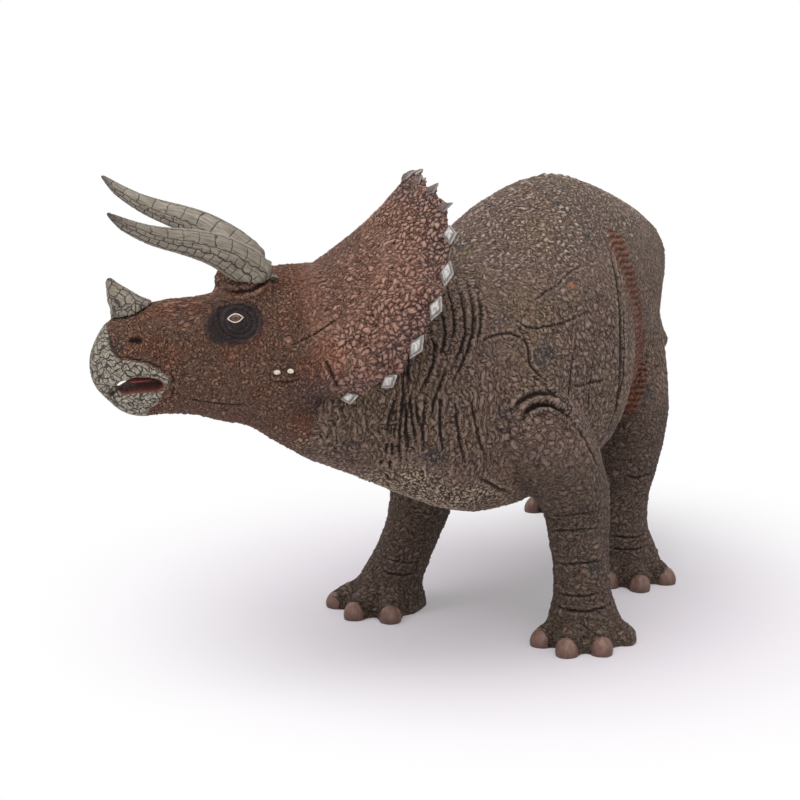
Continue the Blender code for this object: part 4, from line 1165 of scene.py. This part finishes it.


# Hollows and ridges left by the relief, and painted shade with some dark wash in the creases and where other pieces
# meet the skin

# The darkness beside other pieces is painted shade: how dark it gets, how far it reaches and how fast it fades, in
# millimetres
washAndShadePlan = {"rounds": 5, "pull": 0.8, "hollow": 0.16, "edge": 0.13, "reach": 1.2, "dirtAndShade": 0.9, "fade": 0.5}


def settleWashAndShade():
    mesh = skin.data
    points = readPoints(mesh)
    normals = readNormals(mesh)
    edges = readEdges(mesh)
    calm = points
    for _ in range(washAndShadePlan["rounds"]):
        calm = calm + (neighbourMean(calm, edges, len(calm)) - calm) * washAndShadePlan["pull"]
    hollow = ((calm - points) * normals).sum(1) / mm
    # painted shade with some dark wash: darker in deep creases and beside the horns, claws, studs, eyes and cheek studs
    dirtAndShade = np.clip(-creaseShift, 0, 1)
    reach = washAndShadePlan["reach"] * mm
    for piece in horns + claws + [studs, eyes, cheeks]:
        places = readPoints(piece.data)
        low, high = places.min(0) - reach, places.max(0) + reach
        near = np.flatnonzero(((points > low) & (points < high)).all(1))
        tree = treeOf(piece.data)
        for index in near:
            found = tree.find_nearest(Vector(points[index]), reach)[3]
            if found is not None:
                dirtAndShade[index] = max(dirtAndShade[index], washAndShadePlan["dirtAndShade"] * math.exp(-(found / mm / washAndShadePlan["fade"]) ** 2))
    setField(mesh, "hollow", np.clip(hollow / washAndShadePlan["hollow"], 0, 1))
    setField(mesh, "edge", np.clip(-hollow / washAndShadePlan["edge"], 0, 1))
    setField(mesh, "creaseAndJointShade", dirtAndShade)


settleWashAndShade()
print("wash settled")


# Paint for the skin

skinPaint = {"base": "745d51", "olive": "76614e", "violet": "5f5050", "slateAndShade": "4a4541", "washAndShade": "211612",
             "top": "9f8a7e", "legs": "5c4d43", "rust": "7f4c37", "rustTop": "965f45", "cream": "c3b498",
             "frill": "845f4f", "frillTop": "bc9482", "frillWashAndShade": "25100c", "orange": "94593d", "plum": "554344",
             "snout": "76594a", "cheek": "784e3c", "headTop": "a57c65", "headWashAndShade": "26140f", "beak": "6d665a",
             "beakLight": "aaa294", "beakWashAndShade": "1f1b17", "eyeDark": "231d1e", "eyeTop": "3b3235",
             "inside": "86564d", "accent": "a06a4c", "backTopBrushAndLight": "b9a79b"}
washAndShadeAmount = {"line": 0.84, "hair": 0.28, "hollow": 0.34, "creaseAndJointShade": 0.38, "foldLineShade": 0.9, "most": 0.95}
# Reach of the dry-brushed tops; the back's share adds painted light from above on the top of the back
topAmount = {"all": 0.60, "throat": 0.40, "legs": -0.30, "head": -0.05, "frill": 0.10, "back": 0.25}


def makeSkinPaint():
    paint = Paint("skinPaint")
    look = skinPaint
    place = paint.field("mould", True)
    head, frill, beak, rim = (paint.field(name) for name in ("headZone", "frill", "beak", "rimBand"))
    throat, rust, slateAndShade, legs = (paint.field(name) for name in ("throat", "rust", "slateAndShade", "legs"))
    eye, creaseAndJointShade, hollow, edge = (paint.field(name) for name in ("eyeZone", "creaseAndJointShade", "hollow", "edge"))
    cells = skinCells(paint)
    broad = paint.cloud(place, (15, 15, 15), 2.0)
    middle = paint.cloud(place, (5, 5, 5), 3.0)
    fine = paint.cloud(place, (0.45, 0.45, 0.45), 3.0, 0.6)
    scale = paint.cells(place, scaleSizes["pebble"], "F1", "Color")
    tone = paint.make("ShaderNodeSeparateColor", {}, {0: scale})
    micro = paint.cells(place, scaleSizes["micro"])
    dome = paint.step(cells, 0.0, 0.24)
    isFrill = frill * head
    # base colours
    base = paint.mix(paint.step(broad, 0.42, 0.62), look["base"], look["olive"])
    base = paint.mix(paint.step(middle, 0.55, 0.70) * 0.7, base, look["violet"])
    base = paint.mix(legs * 0.7, base, look["legs"])
    # slate patches, and painted shade in the patch under the frill
    base = paint.mix(slateAndShade * paint.step(middle, 0.30, 0.55), base, look["slateAndShade"])
    base = paint.mix(rust * paint.step(middle, 0.36, 0.56, 0.35, 0.95), base, look["rust"])
    face = paint.mix(paint.step(broad + (middle - 0.5) * 0.5, 0.42, 0.60), look["snout"], look["cheek"])
    face = paint.mix(slateAndShade * 0.85, face, look["slateAndShade"])
    base = paint.mix(head, base, face)
    warm = paint.step(tone, 0.84, 0.94) * rim * 0.8 + paint.field("corner") * 0.6
    shield = paint.mix(warm, look["frill"], look["orange"])
    base = paint.mix(isFrill * (1 - slateAndShade), base, shield)
    base = paint.mix(rim * (0.45 + 0.4 * paint.step(middle, 0.4, 0.6)), base, look["plum"])
    # dry-brushed tops, lighter still on the top of the back: dry-brush and painted light from above
    back = paint.field("back")
    top = paint.mix(back, look["top"], look["backTopBrushAndLight"])
    top = paint.mix(rust * 0.8, top, look["rustTop"])
    top = paint.mix(head, top, look["headTop"])
    top = paint.mix(isFrill, top, look["frillTop"])
    top = paint.mix(throat * 0.70, top, look["cream"])
    lit = paint.step(cells * 1.4 + (fine - 0.5) * 1.0 + edge * 0.6, 0.10, 0.80)
    reach = topAmount["all"] + sum(topAmount[name] * amount for name, amount in (
        ("throat", throat), ("legs", legs), ("head", head), ("frill", isFrill), ("back", back)))
    shade = paint.mix(lit * reach, base, top)
    # dark wash in the grooves, with painted shade in the creases and beside other pieces
    washAndShade = paint.mix(isFrill, paint.mix(head, look["washAndShade"], look["headWashAndShade"]), look["frillWashAndShade"])
    line = paint.step(cells + (fine - 0.5) * 0.07, 0.088, 0.015)
    hair = paint.step(micro + (fine - 0.5) * 0.1, 0.10, 0.0) * (1 - beak)
    # a dark line along each crease: painted shade in the fold, with dark wash
    foldLineShade = paint.step(paint.field("crack") + (fine - 0.5) * 0.25, 0.36, 0.12)
    dark = sum(washAndShadeAmount[name] * amount for name, amount in (
        ("line", line), ("hair", hair), ("hollow", hollow), ("creaseAndJointShade", creaseAndJointShade), ("foldLineShade", foldLineShade)))
    shade = paint.mix(paint.maths("MINIMUM", dark, washAndShadeAmount["most"]), shade, washAndShade)
    # round the eye
    ringed = paint.mix(edge, look["eyeDark"], look["eyeTop"])
    shade = paint.mix(eye * 0.92, shade, ringed)
    # grey beak with short dark cracks
    bricks = paint.step(paint.cells(paint.field("mouldHead", True), (2.0, 1.8, 1.15)), 0.025, 0.095)
    grey = paint.mix(paint.step(fine, 0.35, 0.7), look["beak"], look["beakLight"])
    grey = paint.mix(paint.maths("MAXIMUM", (1 - bricks) * 0.88, foldLineShade * 0.9), grey, look["beakWashAndShade"])
    # painted shade and dark wash in the beak's creases and hollows
    grey = paint.mix(creaseAndJointShade * 0.6 + hollow * 0.5, grey, look["beakWashAndShade"])
    shade = paint.mix(beak, shade, grey)
    shade = paint.mix(paint.field("inside"), shade, look["inside"])
    shade = paint.mix(paint.field("accent"), shade, look["accent"])
    shade = paint.mix(paint.field("nostril") * 0.92, shade, look["headWashAndShade"])
    paint.feed("Base Color", shade)
    paint.feed("Roughness", paint.step(dome, 0.1, 0.9, 0.78, 0.56) + (fine - 0.5) * 0.1)
    shape = paint.blend(dome * 0.8 + fine * 0.25 - hair * 0.35 - foldLineShade * 0.8, bricks * 0.7 + fine * 0.3, beak)
    paint.feed("Normal", paint.bumpNormal(shape, 0.40, 0.9))
    paint.feed("Specular IOR Level", 0.25)
    return paint.material


skinMaterial = makeSkinPaint()


def splitSkin():  # one piece for each CAD node or pair of nodes
    mesh = skin.data
    normals = readNormals(mesh)
    corners = np.empty(len(mesh.loops), np.int64)
    mesh.loops.foreach_get("vertex_index", corners)
    faces = corners.reshape(-1, 4)
    faceOwner = owner[faces[:, 0]]
    for index, (name, nodes) in enumerate(skinPlan["pieces"].items()):
        part = bmesh.new()
        part.from_mesh(mesh)
        part.faces.ensure_lookup_table()
        bmesh.ops.delete(part, geom=[part.faces[i] for i in np.flatnonzero(faceOwner != index)], context="FACES")
        made = bpy.data.meshes.new(name)
        part.to_mesh(made)
        part.free()
        kept = np.unique(faces[faceOwner == index])
        made.shade_smooth()
        made.normals_split_custom_set_from_vertices([tuple(n) for n in normals[kept]])
        piece = addPiece(name, made)
        made.materials.append(skinMaterial)
        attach(piece, "root")
        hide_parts(*nodes)
        print(name, len(made.polygons))
    bpy.data.objects.remove(skin)


splitSkin()


# Floor: a pale sweep with painted shadow under the figure that turns white away from it

# near is painted shadow under the figure; glow is painted light that lifts that shadow for the camera
sweepPlan = {"near": "d4ccd4", "far": "f6f4f6", "middle": (0.014, -0.009, 0.0), "reach": (0.035, 0.150),
             "wide": 2.4, "behind": 1.0, "curve": 0.6, "top": 2.4, "glow": 0.22}


def makeSweep():
    behind, curve, wide = sweepPlan["behind"], sweepPlan["curve"], sweepPlan["wide"]
    profile = [(depth, 0.0) for depth in (-1.2, -0.4, 0.0, 0.5, behind)]
    profile += [(behind + curve * math.sin(a), curve * (1 - math.cos(a))) for a in np.linspace(0.1, math.pi / 2, 12)]
    profile.append((behind + curve, sweepPlan["top"]))
    shape = bmesh.new()
    rows = []
    for depth, rise in profile:
        rows.append([shape.verts.new((across * math.cos(aside) - depth * math.sin(aside),
                                      across * math.sin(aside) + depth * math.cos(aside), rise))
                     for across in np.linspace(-wide, wide, 9)])
    joinRows(shape, rows, isRing=False)
    return addPiece("sweep", meshOf("sweep", shape))


def seenDirectly(net):  # 1 for the camera and for reflections, so that the background is white there
    path = net.tree.nodes.new("ShaderNodeLightPath")
    camera, glossy, clear = [Wire(net, path.outputs[name]) for name in
                             ("Is Camera Ray", "Is Glossy Ray", "Is Transmission Ray")]
    return net.maths("MINIMUM", camera + glossy + clear, 1.0)


def makeSweepPaint():
    paint = Paint("sweepPaper")
    place = paint.vector("SUBTRACT", paint.make("ShaderNodeTexCoord", output="Object"), sweepPlan["middle"])
    gap = paint.vector("LENGTH", place, output="Value")
    away = paint.step(gap, *sweepPlan["reach"])
    # painted shadow: darker near the figure, white away from it
    paint.feed("Base Color", paint.mix(away, sweepPlan["near"], sweepPlan["far"]))
    paint.feed("Roughness", 0.9)
    paint.feed("Specular IOR Level", 0.1)
    seen = seenDirectly(paint)
    glow = paint.make("ShaderNodeEmission", {}, {"Color": (1, 1, 1, 1), "Strength": 1.0})
    # the camera sees the sweep glow white away from the figure, and a little under it as painted light lifting the
    # shadow
    share = seen * (sweepPlan["glow"] + (1 - sweepPlan["glow"]) * away)
    both = paint.make("ShaderNodeMixShader", {}, {0: share, 1: Wire(paint, paint.shader.outputs[0]), 2: glow})
    paint.tree.links.new(both.socket, paint.tree.nodes["Material Output"].inputs["Surface"])
    return paint.material


sweep = makeSweep()
sweep.data.materials.append(makeSweepPaint())


# Light: a bright room and large soft lamps, mostly from above

lightPlan = {"room": 0.50, "lamps": {
    "key": {"place": (-0.10, -0.40, 1.20), "size": 1.3, "power": 13.0},
    "fill": {"place": (0.55, -0.75, 0.60), "size": 0.9, "power": 2.6},
}}


def addLights():
    world = bpy.data.worlds.new("room")
    bpy.context.scene.world = world
    world.use_nodes = True
    net = Net(world.node_tree)
    sky = world.node_tree.nodes["Background"]
    sky.inputs["Color"].default_value = (1, 1, 1, 1)
    strength = seenDirectly(net) * (1 - lightPlan["room"]) + lightPlan["room"]
    net.tree.links.new(strength.socket, sky.inputs["Strength"])
    for name, plan in lightPlan["lamps"].items():
        lamp = bpy.data.lights.new(name, "AREA")
        lamp.shape = "DISK"
        lamp.size = plan["size"]
        lamp.energy = plan["power"]
        holder = addPiece(name, lamp)
        holder.location = plan["place"]
        holder.rotation_euler = (Vector((0, 0, 0.05)) - holder.location).to_track_quat("-Z", "Y").to_euler()


addLights()
bpy.context.scene.view_settings.view_transform = "Standard"
print("light set")
